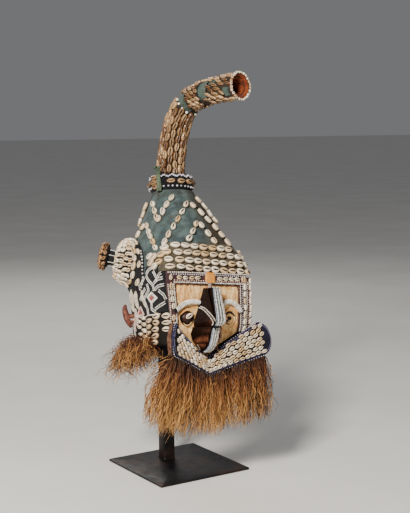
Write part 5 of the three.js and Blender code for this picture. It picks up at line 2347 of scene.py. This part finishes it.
            beads.append(strung(path, out, 2.6, "e2dfd8", 322 + number, 1.0))
        bench.put(name + "_bun_beads", Shape.join(beads), Finish.BEADS, "beads")
        low, high = self.neck_end + 4.4, self.knob_end
        knob = [(low, 0.5), (low, 24), (low + 4, 28), (high - 8, 28), (high - 4, 22), (high - 4, 0.5)]
        node = name + "_bun_knob"
        bench.put(name + "_knob_cloth", self.body(knob, 40), Finish.DARK_CLOTH, "cowrie", node)
        rim = self.packed([(low + 4, 28), (high - 8, 28.5), (high - 5, 24)], 8.5, 12, 80, 22)
        cap = self.packed([(high - 4, 20), (high - 3.9, 5)], 9, 11, 0, 40)
        seeds = sewn(Seats.join([rim, cap]), (13, 8.8, 6), 330 + self.sign, 14)
        bench.put(name + "_knob_shells", seeds, Finish.SEED_SHELL, "cowrie")


def clear_of_head(points: Array) -> Array:
    """Whether points are outside the head's surface by more than a shell's edge.

    Args:
        points: n by 3.

    Returns:
        True or false for each.
    """
    _, shift, *_, aft = HEAD.section(points[:, 2])
    x, y = points[:, 0] - shift, points[:, 1] - aft
    wall = HEAD.point(np.arctan2(x, -y), points[:, 2])
    reach = np.hypot(wall[:, 0] - shift, wall[:, 1] - aft)
    return np.hypot(x, y) > reach + SHELL_EDGE


@dataclass
class Trunk:
    """The elephant trunk: a cloth tube with cowrie bands, its lined mouth and its ring."""

    turn: float = 12
    root_y: float = 20
    core: float = 26.5
    mouth: float = 22
    depth: float = 46
    path: tuple = (
        (-3, 314.6),
        (-4, 370),
        (3, 419),
        (15, 461),
        (37, 502),
        (69, 527.5),
        (120, 537),
        (169, 536.5),
        (226, 533),
    )

    def __post_init__(self) -> None:
        """Works out the trunk's axis and the way it faces."""
        turn = math.radians(self.turn)
        ahead = np.array([math.sin(turn), -math.cos(turn), 0])
        self.side = np.array([math.cos(turn), math.sin(turn), 0])
        knots = [np.array([0, self.root_y, z]) + ahead * reach for reach, z in self.path]
        self.axis = curve(np.array(knots), 400)
        self.length = run_length(self.axis)
        self.way = unit(np.gradient(self.axis, axis=0))

    def at(self, run: Array, turn: Array, radius: Array) -> tuple[Array, Array, Array]:
        """Points round the trunk.

        Args:
            run: distance along the axis.
            turn: radians round it, from its side towards its inner bend.
            radius: distance from the axis.

        Returns:
            The points, the way out of the trunk and the way along it.
        """
        run, turn, radius = np.broadcast_arrays(run, turn, radius)
        beyond = np.clip(run - self.length, 0, None)[..., None]
        share = np.clip(run / self.length, 0, 1) * (len(self.axis) - 1)
        steps = np.arange(len(self.axis))
        centre, way = read(self.axis, steps, share), unit(read(self.way, steps, share))
        centre = centre + way * beyond
        up = np.cross(self.side, way)
        out = self.side * np.cos(turn)[..., None] + up * np.sin(turn)[..., None]
        return centre + out * radius[..., None], out, way

    def radius(self, run: Array) -> Array:
        """The cloth's radius, a little larger at both ends."""
        return self.core + 1.5 * (2 * np.clip(run / self.length, 0, 1) - 1) ** 2

    @staticmethod
    def from_bend(turn: Array) -> Array:
        """Degrees round the trunk from its outer bend, the same to both sides: 0 to 180."""
        return np.abs((np.degrees(turn) - 270 + 180) % 360 - 180)

    def bare(self, run: Array, turn: Array) -> Array:
        """Whether a place shows bare cloth: slanting patches between the shell bands.

        Args:
            run: distance along the axis.
            turn: radians round it.

        Returns:
            True or false for each place.
        """
        away = self.from_bend(turn)
        slant = run + 0.05 * (away - 90)
        band = (slant > 224) & (slant < 244) & (away > 36) & (away < 164)
        band |= (slant > 287) & (slant < 315) & (away > 34) & (away < 138)
        band |= (slant > 320) & (slant < 340) & (away > 34) & (away < 70)
        return band | ((slant > 370) & (slant < 388) & (away > 98) & (away < 146))

    def tube(self) -> Shape:
        """The cloth tube with its hollow mouth, darkened where shells cover it as painted shade in the
        gaps between them.
        """
        turn = circle(90)[None]
        run = np.linspace(0, self.length, 200)[:, None]
        points, out, _ = self.at(run, turn, self.radius(run))
        points = points + out * (ripple(points, 20, 9) * 0.6)[..., None]
        inside = np.linspace(self.length, self.length - self.depth, 8)[:, None]
        hollow, _, _ = self.at(inside, turn, self.mouth + 0 * inside)
        # painted shade in the gaps between the shells
        brown = np.where(self.bare(run, turn), 0.12, 0.95)
        return loft(np.concatenate([points, hollow]), mark=np.concatenate([brown, hollow[..., 0] * 0]))

    def rows(self, start: float, end: float, pitch: float, across: int, lean: float) -> Seats:
        """Staggered rows of places along the trunk, lying along it and leaned.

        Args:
            start: distance along the axis of the first row.
            end: the same for the last.
            pitch: distance from a row to the next but one.
            across: columns round the trunk, half of them in each row.
            lean: degrees that the pieces turn from the trunk's way, mirrored at its far side.

        Returns:
            The places.
        """
        seats = []
        for row, run in enumerate(np.arange(start, end, pitch / 2)):
            turn = 2 * math.pi * (np.arange(across / 2) * 2 + row % 2 + 0.5) / across
            points, out, way = self.at(run, turn, self.radius(run) - 0.3)
            away = self.from_bend(turn)
            side = np.where(np.cos(turn) < 0, -1, 1)
            tilt = lean * side * ease(away, 20, 60)
            keep = ~self.bare(np.full(len(turn), run), turn)
            seats.append(Seats(points, way, out).turned(tilt).kept(keep))
        return Seats.join(seats)

    def shells(self) -> Shape:
        """Long pointed shells up the lower half, and smaller slanting bands above them."""
        low = self.rows(46, 213, 22, 14, 0)
        dense = self.rows(250, 289, 13, 18, 34)
        high = self.rows(312, self.length - 2, 21, 18, 24)
        bend = self.rows(230, self.length - 4, 20, 14, 0)
        away = np.abs((bend.out * self.side).sum(-1))
        over = (bend.out[:, 2] > 0) & (away < 0.62)
        groups = [sewn(low, (25, 13, 8), 400, 5), sewn(bend.kept(over), (22, 11, 7), 401, 6)]
        for seats, size, seed in ((dense, (15, 9, 6), 402), (high, (22, 8.2, 5.5), 403)):
            sides = (np.abs((seats.out * self.side).sum(-1)) > 0.55) | (seats.out[:, 2] < 0)
            groups.append(sewn(seats.kept(sides), size, seed, 9))
        return Shape.join(groups)

    def border(self, run: float, span: tuple, size: float, dye: str, seed: int, step: float) -> Shape:
        """A slanting line of beads round both sides, from the outer bend's edge to the inner's.

        Args:
            run: where it crosses the sides.
            span: first and last degrees from the outer bend.
            size: the beads' diameter.
            dye: their colour.
            seed: picks differences.
            step: distance between beads, in diameters.

        Returns:
            The beads.
        """
        beads = []
        for way in (-1, 1):
            away = np.linspace(*span, 60)
            turn = np.radians(270 + way * away)
            along = run - 0.05 * (away - 90)
            points, out, _ = self.at(along, turn, self.radius(along))
            beads.append(strung(points, out, size, dye, seed + way, step))
        return Shape.join(beads)

    def piping(self, run: float, thick: float) -> Shape:
        """A slanting ring of dark cord round the trunk.

        Args:
            run: where it crosses the sides.
            thick: half its thickness.

        Returns:
            The cord.
        """
        turn = circle(96)
        along = run - 0.05 * (self.from_bend(turn) - 90)
        points, out, _ = self.at(along, turn, self.radius(along) + thick * 0.6)
        return tube(points, out, thick, thick, 8, loop=True)

    def lining(self) -> Shape:
        """The gathered cloth inside the mouth: a funnel with thin walls, darkened with painted shade
        deeper in, on one side and in its pleats.
        """
        turn = circle(90)[None]
        pleat = 0.6 * np.sin(17 * turn) + 0.4 * np.sin(31 * turn + 1)
        start, end = self.length - self.depth + 0.6, self.length + 0.4
        wide = self.mouth - 0.9
        steps = [0, 0, 0.5, 1, 1.0, 0.8, 0.3, 0.1, 0.06]
        run = lerp(start, end, np.array(steps))
        radius = np.array([1, wide, wide, wide, wide - 1.2, wide - 1.7, wide - 2.4, wide - 4, 1])
        rough = np.array([0, 0, 0, 0, 0.4, 1, 1, 0.8, 0])
        points, _, _ = self.at(run[:, None], turn, radius[:, None] + rough[:, None] * pleat)
        # painted shade: darker on one side, in the pleats and deeper inside the mouth
        dark = np.clip(0.5 - 0.9 * np.cos(turn) + 0.5 * np.sin(9 * turn), 0, 0.9)
        inside = np.array([1, 0, 0, 0, 0, 0.5, 0.9, 1, 1])[:, None]
        return loft(points, mark=dark * inside)

    def ring(self) -> Shape:
        """The padded ring round the mouth, whose face slopes in like a funnel."""
        turn = circle(90)[None]
        section = np.array([[0.4, 21.6], [0.4, 31], [3.4, 32.2], [6.4, 31.2], [6.4, 28.6], [3.2, 24.6]])
        run, radius = self.length + section[:, 0], section[:, 1]
        pleat = np.sin(23 * turn) * np.array([0, 0, 0, 0, 0.3, 0.6])[:, None]
        points, _, _ = self.at(run[:, None], turn, radius[:, None] + pleat)
        return loft(points, loop=True)

    def ring_shells(self) -> Shape:
        """A row of small white cowries round the ring's rim, tipped outwards."""
        count, lift, radius, tip = 26, 5.6, 30.6, 0.7
        points, out, way = self.at(self.length + lift, circle(count), radius)
        face = unit(way * math.cos(tip) + out * math.sin(tip))
        return sewn(Seats(points, np.cross(way, out), face), (7.6, 6.4, 4.6), 420, 16)

    def build(self, bench: Bench) -> None:
        """Makes the trunk's pieces.

        Args:
            bench: takes the pieces.
        """
        bench.put("trunk_cloth", self.tube(), Finish.TRUNK_CLOTH, "cloth", "trunk")
        bench.put("trunk_shells", self.shells(), Finish.BROWN_SHELL, "cowrie")
        strings = [self.border(224, (52, 164), 6.6, "efeadf", 430, 1.9)]
        strings.append(self.border(317, (40, 150), 3.2, "b9a98f", 432, 1.6))
        bench.put("trunk_beads", Shape.join(strings), Finish.BEADS, "beads")
        cords = [self.piping(246, 1.5), self.piping(288, 1.5), self.piping(318, 2.0)]
        bench.put("trunk_piping", Shape.join(cords), Finish.DARK_CLOTH, "dark_cloth")
        lined = Finish.LINING_CLOTH
        bench.put("mouth_lining", self.lining(), lined, "lining", "trunk_lining")
        bench.put("tip_ring_cloth", self.ring(), lined, "lining", "trunk_tip_ring")
        bench.put("tip_ring_shells", self.ring_shells(), Finish.PALE_SHELL, "cowrie")


@dataclass
class Collar:
    """The padded collar round the trunk's root, with its beads, cowries and tie."""

    trunk: Trunk
    low: float = 314.8
    height: float = 40
    bore: float = 30
    radius: float = 51
    belt_radius: float = 51.4
    shells: int = 14
    tie_degrees: float = -63

    def __post_init__(self) -> None:
        """Finds the collar's middle on the trunk's axis."""
        centre, _, _ = self.trunk.at(0.06 * self.trunk.length, np.array(0.0), np.array(0.0))
        self.middle = centre[:2]

    def round(self, degrees: Array, radius: Array, z: Array) -> Array:
        """Points round the collar, by degrees from straight ahead.

        Args:
            degrees: round the collar.
            radius: from its middle.
            z: heights.

        Returns:
            The points.
        """
        angle = np.radians(degrees)
        x = self.middle[0] + radius * np.sin(angle)
        return xyz(x, self.middle[1] - radius * np.cos(angle), z)

    def facing(self, degrees: Array) -> Array:
        """The way out of the collar."""
        angle = np.radians(degrees)
        return xyz(np.sin(angle), -np.cos(angle), 0 * angle)

    def body(self) -> Shape:
        """The padded ring: its outside bulges between its hems."""
        share = np.linspace(0, 1, 16)
        outside = self.radius - 3 + 4.2 * np.sin(math.pi * share) ** 0.6 - 3.5 * share**3
        radius = np.concatenate([outside, [self.bore + 6, self.bore, self.bore]])
        top = self.low + self.height
        heights = np.concatenate([self.low + self.height * share, [top + 0.4, top - 2, self.low]])
        degrees = (360 * np.arange(110) / 110)[None]
        points = self.round(degrees, radius[:, None], heights[:, None])
        crease = ripple(points, 16, 12) * 0.5
        crease[-3:] = 0
        return loft(self.round(degrees, radius[:, None] + crease, heights[:, None]), loop=True)

    def beads(self) -> Shape:
        """A zigzag of pale lilac beads at the top and spaced beads at the foot."""
        degrees = np.linspace(0, 360, 361)
        wave = np.abs((degrees / 11) % 2 - 1) * 2 - 1
        top = self.low + self.height
        zigzag = self.round(degrees, 49.8 - 0.8 * wave, top - 6 + 2.8 * wave)
        out = self.facing(degrees)
        crest = strung(zigzag, out, 4.6, "d5d0e0", 440, 1.05)
        foot = strung(self.round(degrees, self.belt_radius, self.low + 8), out, 5.0, "c4c2cf", 441, 2.1)
        return Shape.join([crest, foot])

    def belt(self) -> Shape:
        """The level cowries round the collar, and the ones stacked behind the tie."""
        degrees = 360 * (np.arange(self.shells) + 0.5) / self.shells - 20
        away = np.abs((degrees - self.tie_degrees + 180) % 360 - 180)
        level = np.concatenate([degrees[away > 17], [-82, -80, -78]])
        gap = np.array([20.0] * int((away > 17).sum()) + [31.0, 20.0, 8.5])
        centre = self.round(level, self.belt_radius, self.low + gap)
        way = self.round(level + 1, 51, self.low + gap) - self.round(level - 1, 51, self.low + gap)
        return sewn(Seats(centre, way, self.facing(level)), (20, 13, 7.5), 445)

    def strip(self, u: Array, v: Array, lift: float) -> Array:
        """A point of the narrow strip of the tie, which waves and curls away at its top.

        Args:
            u: 0 to 1 across.
            v: 0 to 1 up.
            lift: off the collar.

        Returns:
            The points.
        """
        degrees = self.tie_degrees + (u - 0.5) * lerp(12, 10, v) + 1.2 * np.sin(7 * v)
        curl = 4.5 * ease(v, 0.84, 1.0)
        wave = 0.7 * np.sin(9 * v + 4 * u)
        return self.round(degrees, 58.4 + lift + curl + wave, lerp(311, 366, v))

    def tie(self) -> Shape:
        """The tie over the collar, with the rolls that its top curls into."""
        rolls = [layer(self.strip, (2, 0), 40, 12)]
        turn = np.linspace(0.2, 5.2, 40)
        for shift, size in ((-6, 4.2), (4, 3.2)):
            reach = 62 + size * np.sin(turn)
            height = 365 + size * (1 - np.cos(turn)) / 1.4
            spots = self.round(np.full(40, self.tie_degrees + shift), reach, height)
            side = np.cross(self.facing(np.array(self.tie_degrees)), UP)
            rolls.append(tube(spots, side, 1.2, 4.0, 8))
        return Shape.join(rolls)

    def build(self, bench: Bench) -> None:
        """Makes the collar's pieces.

        Args:
            bench: takes the pieces.
        """
        bench.put("collar_cloth", self.body(), Finish.DARK_CLOTH, "dark_cloth", "trunk_collar")
        bench.put("collar_beads", self.beads(), Finish.BEADS, "beads")
        bench.put("collar_shells", self.belt(), Finish.BROWN_SHELL, "cowrie")
        bench.put("collar_tie_cloth", self.tie(), Finish.TIE_CLOTH, "cloth", "collar_tie")


@dataclass
class Beard:
    """The stiff padded V under the chin."""

    top_vertex: tuple = (0, -99, -91)
    top_end: tuple = (116, -148, -12.5)
    low_vertex: tuple = (0, -107, -131)
    low_end: tuple = (124, -153, -90)
    tip: tuple = (17, -17, 1)
    thick: float = 18
    face: tuple = (-0.43, -0.9, 0.07)
    shell: tuple = (14.2, 9.6, 7)
    arm: float = 142
    tip_reach: float = 24
    rows: int = 7
    first_row: float = 8.4
    row_step: float = 10.1

    def point(self, station: Array, v: Array, lift: Array) -> Array:
        """A point of the band.

        Along each arm the upper and lower edges run straight; past 1 the end turns through a
        half circle to a round tip.

        Args:
            station: signed distance along an arm, 1 at its end and 2 at its tip.
            v: 0 at the lower edge and 1 at the upper edge.
            lift: distance in front of the band's middle.

        Returns:
            The points.
        """
        station, v, lift = np.broadcast_arrays(station, v, lift)
        side, far = np.where(station < 0, -1.0, 1.0), np.abs(station)
        q = np.minimum(far, 1)[..., None]
        top = lerp(np.array(self.top_vertex), np.array(self.top_end), q)
        sink = np.where(side < 0, 11 * ease(far, 0, 0.25) * (1 - 0.7 * ease(far, 0.88, 1)), 0)
        top[..., 2] -= sink
        low = lerp(np.array(self.low_vertex), np.array(self.low_end), q)
        turn = np.clip(far - 1, 0, 1) * (math.pi / 2)
        share = (0.5 + (v - 0.5) * np.cos(turn))[..., None]
        points = lerp(low, top, share) + np.array(self.tip) * np.sin(turn)[..., None]
        lean = self.face[0] * np.minimum(1, far / 0.3)
        normal = unit(xyz(lean, self.face[1], self.face[2]))
        points = points + normal * lift[..., None]
        points[..., 0] *= side
        return points

    def body(self, back: float, front: float, grow: float) -> Shape:
        """A layer of the band with rounded edges.

        Args:
            back: lift of its back.
            front: lift of its front.
            grow: how far it passes the band's edges, as a share of the width.

        Returns:
            The closed layer.
        """
        station = np.concatenate([np.linspace(0, 1, 40), np.linspace(1.06, 1.985, 22)])
        station = np.concatenate([-station[:0:-1], station])
        spin = circle(40)
        ring_v = np.sign(np.cos(spin)) * np.abs(np.cos(spin)) ** 0.35
        ring_lift = np.sign(np.sin(spin)) * np.abs(np.sin(spin)) ** 0.5
        v = 0.5 + (0.5 + grow) * ring_v[None]
        lift = lerp(back, front, 0.5 + 0.5 * ring_lift[None])
        points = self.point(station[:, None], v, lift)
        points[..., 1] += ripple(points, 14, 13) * 0.35
        return loft(points)

    def edge(self, lift: float, inset: float) -> tuple[Array, Array]:
        """The outline of the band's face, all the way round, and the way it faces.

        Args:
            lift: distance in front of the band's middle.
            inset: from its edges, as a share.

        Returns:
            The path and the facing.
        """
        arm = np.concatenate([np.linspace(0, 1, 30), np.linspace(1.05, 1.97, 24)])
        low = np.concatenate([-arm[::-1], arm[1:]])
        stations = np.concatenate([low, low[::-1][1:-1]])
        v = np.concatenate([np.full(len(low), inset), np.full(len(low) - 2, 1 - inset)])
        path = self.point(stations, v, lift)
        return path, unit(self.point(stations, v, lift + 1) - path)

    def seats(self) -> Seats:
        """Cowries in staggered rows along each arm, side by side with its lower edge."""
        seats = []
        for side, end, pitch in ((-1, 2, 16), (1, 10, 14.4)):
            for row in range(self.rows):
                run = np.arange(2.0 + pitch / 2 * (row % 2), self.arm + end, pitch)
                past = np.clip((run - self.arm) / self.tip_reach, 0, 1)
                station = np.minimum(run / self.arm, 1) + np.arcsin(past) * 2 / math.pi
                low = self.point(station, np.zeros(len(run)), 0)
                width = np.linalg.norm(self.point(station, np.ones(len(run)), 0) - low, axis=1)
                v = (self.first_row + self.row_step * row) / width
                fits = v * width < width - (4.8 if side > 0 else 6 + 5 * station)
                run, station, v = run[fits], station[fits], v[fits]
                front = self.thick / 2 + 0.8
                centre = self.point(side * station, v, front)
                near = np.minimum(station, 0.96)
                ahead = self.point(side * (near + 0.02), v, 0) - self.point(side * near, v, 0)
                out = self.point(side * station, v, front + 1) - centre
                seats.append(Seats(centre, ahead, out).turned(9 if side > 0 else -24))
        return Seats.join(seats)

    def build(self, bench: Bench) -> None:
        """Makes the band and its trim.

        Args:
            bench: takes the pieces.
        """
        half = self.thick / 2
        pad = self.body(-half, half, 0)
        bench.put("beard_pad", pad, Finish.BACK_HIDE, "hide", "beard_band")
        ground = self.body(half - 9, half + 0.9, 0.012)
        bench.put("beard_ground", ground, Finish.NAVY, "dark_cloth")
        path, out = self.edge(half - 0.4, 0.03)
        cord = tube(path, out, 1.9, 2.2, 8, loop=True)
        bench.put("beard_edging", cord, Finish.EDGING, "dark_cloth")
        seats = self.seats()
        narrow = np.where(seats.centre[:, 0] < 0, 0.9, 1)
        sizes = (part * narrow**power for part, power in zip(self.shell, (1, 1, 2)))
        shells = sewn(seats, tuple(sizes), 500, 9)
        bench.put("beard_shells", shells, Finish.PALE_SHELL, "cowrie")
        dots = [strung(*self.edge(half - 2.6, -0.012), 2.6, "d6d2dc", 510, 2.4)]
        dots.append(strung(*self.edge(half + 0.9, 0.075), 2.2, "7d77a4", 512, 1.9))
        bench.put("beard_beads", Shape.join(dots), Finish.BEADS, "beads")


@dataclass
class Raffia:
    """The hanging fringe of the beard band and the bushy one round the nape."""

    beard: Beard
    front_count: int = 1900
    nape_count: int = 2100
    tufts: int = 120
    knots: int = 16
    low_corner: tuple = (-186.0, -200.0, 0.0)
    high_corner: tuple = (176.0, 134.0, 900.0)
    pull: float = 0.68
    post_x: float = 19
    post_y: tuple = (34, 73)

    @property
    def share(self) -> Array:
        """How far down a fibre each of its points is, from 0 to 1."""
        return np.linspace(0, 1, self.knots)[None, :, None]

    def taper(self, thickest: Array) -> Array:
        """Half widths at the points of fibres that thin out towards their tips."""
        return thickest[:, None] * (1 - 0.6 * self.share[:, :, 0] ** 2)

    def curled(self, paths: Array, rng: np.random.Generator, reach: float) -> Array:
        """Paths with lazy waves that grow down each fibre.

        Args:
            paths: fibres by points by 3.
            rng: draws the waves.
            reach: their typical size.

        Returns:
            The waved paths.
        """
        t = self.share
        count = len(paths)
        wave = rng.normal(0, 1, (count, 3, 1, 3)) * reach
        phase = rng.uniform(0, 2 * math.pi, (count, 3, 1, 1))
        for k, turns in enumerate((1.1, 2.6, 5.2)):
            sway = np.sin(2 * math.pi * turns * t + phase[:, k]) - np.sin(phase[:, k])
            paths = paths + wave[:, k] * sway * t**0.5 / (1, 1.8, 3.2)[k]
        return paths

    def held(self, paths: Array) -> Array:
        """Paths whose points past the corners of a box are pulled back towards it.

        Args:
            paths: fibres by points by 3.

        Returns:
            The held paths.
        """
        world = POSE.world(paths)
        beyond = np.maximum(world - self.high_corner, 0) - np.maximum(self.low_corner - world, 0)
        return POSE.mask(world - self.pull * beyond)

    def front(self) -> Shape:
        """Fibres from the band's lower edge, in tufts.

        Each falls from its root to the hem; on the mask's right it first swings outwards. The
        fibres of a tuft draw together on their way down and share a shade.
        """
        rng = np.random.default_rng(601)
        count, tufts, t = self.front_count, self.tufts, self.share
        tuft = rng.integers(0, tufts, count)
        station = np.sort(rng.uniform(-1.04, 1.04, tufts))[tuft] + rng.normal(0, 0.035, count)
        station = np.clip(station, -1.06, 1.06)
        lift = rng.uniform(-8, 9, tufts)[tuft] + rng.normal(0, 1.2, count)
        root = self.beard.point(station, np.full(count, 0.03), np.clip(lift, -9, 9.4))
        far, right = np.abs(station), station < 0
        hem = 121 + 32 * far**1.5 + np.where(right, 22 * far**3, 0) + rng.normal(0, 6, tufts)[tuft]
        hem = hem + rng.exponential(30, count) * (rng.random(count) < 0.7)
        drop = POSE.world(root)[:, 2] - hem
        spread = np.where(right, 62, 16) * far + rng.normal(0, 9, tufts)[tuft]
        spread = spread + rng.normal(0, 11, count)
        away = xyz(np.sign(station) * 0.9, np.where(right, 0.15, -0.07), 0.0)
        bend = t ** rng.uniform(0.7, 1.4, (tufts, 1, 1))[tuft]
        paths = root[:, None] + POSE.down() * drop[:, None, None] * t
        paths = paths + away[:, None] * spread[:, None, None] * bend
        belly = (rng.uniform(2, 14, tufts)[tuft] * np.sign(lift))[:, None, None]
        paths = paths + np.array([0, -1.0, 0]) * belly * np.sin(math.pi * 0.6 * t)
        middle = np.zeros((tufts, self.knots, 3))
        np.add.at(middle, tuft, paths)
        middle /= np.maximum(np.bincount(tuft, minlength=tufts), 1)[:, None, None]
        hold = 0.3 * np.sin(math.pi * 0.55 * t) * rng.uniform(0.2, 1, (tufts, 1, 1))[tuft]
        paths = lerp(paths, middle[tuft] * [1, 1, 0] + paths * [0, 0, 1], hold)
        paths = self.curled(paths, rng, 5.6)
        width = self.taper(rng.uniform(0.5, 1.25, count))
        tone = rng.normal(0.58, 0.18, tufts)[tuft] + rng.normal(0, 0.3, count)
        # painted shade: darker towards the band's end on the mask's left, and towards the back
        tone = np.clip(tone - 0.25 * ease(station, 0.3, 1.0) + 0.02 * lift, 0, 1)
        return strands(self.held(paths), width, tone, 602)

    def nape(self) -> Shape:
        """Springy fibres that stand out round the back of the rim and then droop."""
        rng = np.random.default_rng(611)
        count = self.nape_count
        degrees = 180 + 116 * np.sign(rng.random(count) - 0.5) * rng.random(count) ** 0.8
        seats = HEAD.seats(degrees, rng.uniform(-60, -42, count), 1.0)
        fan = np.clip((np.abs(degrees - 180) - 74) / 40, 0, 1)
        length = rng.uniform(60, 142, count) * (1 - 0.1 * fan)
        down = POSE.down()
        level = unit(seats.along) * rng.normal(0, 0.4, (count, 1))
        start = unit(seats.out * rng.uniform(0.5, 1.35, (count, 1)) + level + down * 0.25)
        droop = down * rng.uniform(0.5, 1.5, (count, 1))
        end = unit(droop + seats.out * rng.normal(0.1, 0.3, (count, 1)) + level)
        t = self.share
        bend = t ** rng.uniform(0.5, 1.1, (count, 1, 1))
        ways = start[:, None] * (1 - bend) + end[:, None] * bend
        turns = math.pi * rng.uniform(1.5, 4.0, (count, 1, 1))
        curl = rng.normal(0, 0.74, (count, 1, 3)) * np.sin(turns * t + rng.uniform(0, 6, (count, 1, 1)))
        curl = curl + rng.normal(0, 0.5, (count, 1, 3)) * np.sin(2.7 * turns * t)
        steps = unit(ways + curl) * (length[:, None, None] / (self.knots - 1))
        paths = seats.centre[:, None] + np.cumsum(steps, 1) - steps
        world = POSE.world(paths)
        x, y, _ = np.moveaxis(world, -1, 0)
        post = (np.abs(x) < self.post_x) & (y > self.post_y[0]) & (y < self.post_y[1])
        paths = paths[~post.any(1)]
        width = self.taper(rng.uniform(0.5, 1.15, len(paths)))
        tone = np.clip(rng.normal(0.44, 0.34, len(paths)), 0, 1)
        return strands(self.held(paths), width, tone, 612)

    def build(self, bench: Bench) -> None:
        """Makes both fringes.

        Args:
            bench: takes the pieces.
        """
        bench.put("beard_raffia", self.front(), Finish.RAFFIA, "raffia", "beard_fringe")
        bench.put("nape_raffia", self.nape(), Finish.RAFFIA, "raffia", "nape_fringe")


def aimed(name: str, data: bpy.types.ID, place: tuple, way: Vector) -> bpy.types.Object:
    """A camera or lamp at a place, looking along a way.

    Args:
        name: its name.
        data: the camera or lamp.
        place: where it is, in metres.
        way: where it looks.

    Returns:
        The object.
    """
    thing = linked(name, data)
    thing.location = place
    thing.rotation_mode = "QUATERNION"
    thing.rotation_quaternion = way.to_track_quat("-Z", "Y")
    return thing


@dataclass
class Studio:
    """The pale floor, the soft lights and the camera."""

    azimuth: float = -33.628
    pitch: float = 7.211
    eye: tuple = (-1.44304, -2.287542, 0.856648)
    lens: float = 80
    target: tuple = (0, 0, 0.45)
    half_floor: float = 30.0

    def camera(self) -> None:
        """The camera at the photograph's angle."""
        data = bpy.data.cameras.new("camera")
        data.lens = self.lens
        data.sensor_width = 36
        data.clip_end = 100
        turn, rise = math.radians(self.azimuth), math.radians(self.pitch)
        level = math.cos(rise)
        back = Vector((math.sin(turn) * level, -math.cos(turn) * level, math.sin(rise)))
        bpy.context.scene.camera = aimed("camera", data, self.eye, -back)

    def lamp(self, name: str, place: tuple, size: float, watts: float, tint: RGB) -> None:
        """A soft square lamp that points at the mask.

        Args:
            name: its name.
            place: where it is, in metres.
            size: its side.
            watts: its strength.
            tint: its colour.
        """
        data = bpy.data.lights.new(name, "AREA")
        data.size = size
        data.energy = watts
        data.color = tint
        aimed(name, data, place, Vector(self.target) - Vector(place))

    def floor(self, bench: Bench) -> None:
        """A wide pale floor.

        Args:
            bench: makes its material.
        """
        mesh = bpy.data.meshes.new("floor")
        wide = self.half_floor
        corners = [(-wide, -wide, 0), (wide, -wide, 0), (wide, wide, 0), (-wide, wide, 0)]
        mesh.from_pydata(corners, [], [(0, 1, 2, 3)])
        mesh.materials.append(bench.dressed(Finish.FLOOR))
        linked("floor", mesh)

    def build(self, bench: Bench) -> None:
        """Sets up the studio.

        Args:
            bench: takes the pieces.
        """
        self.camera()
        self.floor(bench)
        self.lamp("key", (-2.05, -1.62, 2.15), 0.7, 190, (1.0, 0.95, 0.87))
        self.lamp("fill", (2.2, -2.4, 1.0), 2.4, 5, (0.9, 0.94, 1.0))
        self.lamp("back", (0.8, 2.6, 2.3), 1.4, 30, (1.0, 0.97, 0.93))
        world = bpy.data.worlds.new("studio")
        world.use_nodes = True
        ground = world.node_tree.nodes["Background"]
        ground.inputs["Color"].default_value = (0.86, 0.87, 0.9, 1)
        ground.inputs["Strength"].default_value = 0.2
        bpy.context.scene.world = world


def blob(centre: Array, axes: Array, size: tuple) -> Shape:
    """A rounded lump of fourteen sides: half sizes along three axes about its middle.

    Args:
        centre: its middle.
        axes: three unit vectors.
        size: half sizes along them.

    Returns:
        The lump.
    """
    tilt = np.linspace(0.12, math.pi - 0.12, 8)[:, None]
    turn = circle(14)
    unit_ball = xyz(np.cos(tilt), np.sin(tilt) * np.cos(turn), np.sin(tilt) * np.sin(turn))
    return loft(centre + (unit_ball * np.array(size, float)) @ np.array(axes, float))


def main() -> None:
    """Builds the studio, the stand and the mask in order."""
    logging.basicConfig(level=logging.INFO, format="%(message)s")
    bench = Bench()
    trunk = Trunk()
    beard = Beard()
    parts = [Studio(), Stand(), Crown(), Forehead(), Face(), Features()]
    parts += [Side(-1), Side(1), Bun(-1), Bun(1), trunk, Collar(trunk), beard, Raffia(beard)]
    for part in parts:
        part.build(bench)
    LOG.info("all pieces: %d triangles", bench.triangles)
    bpy.context.view_layer.update()


if __name__ == "__main__":
    main()
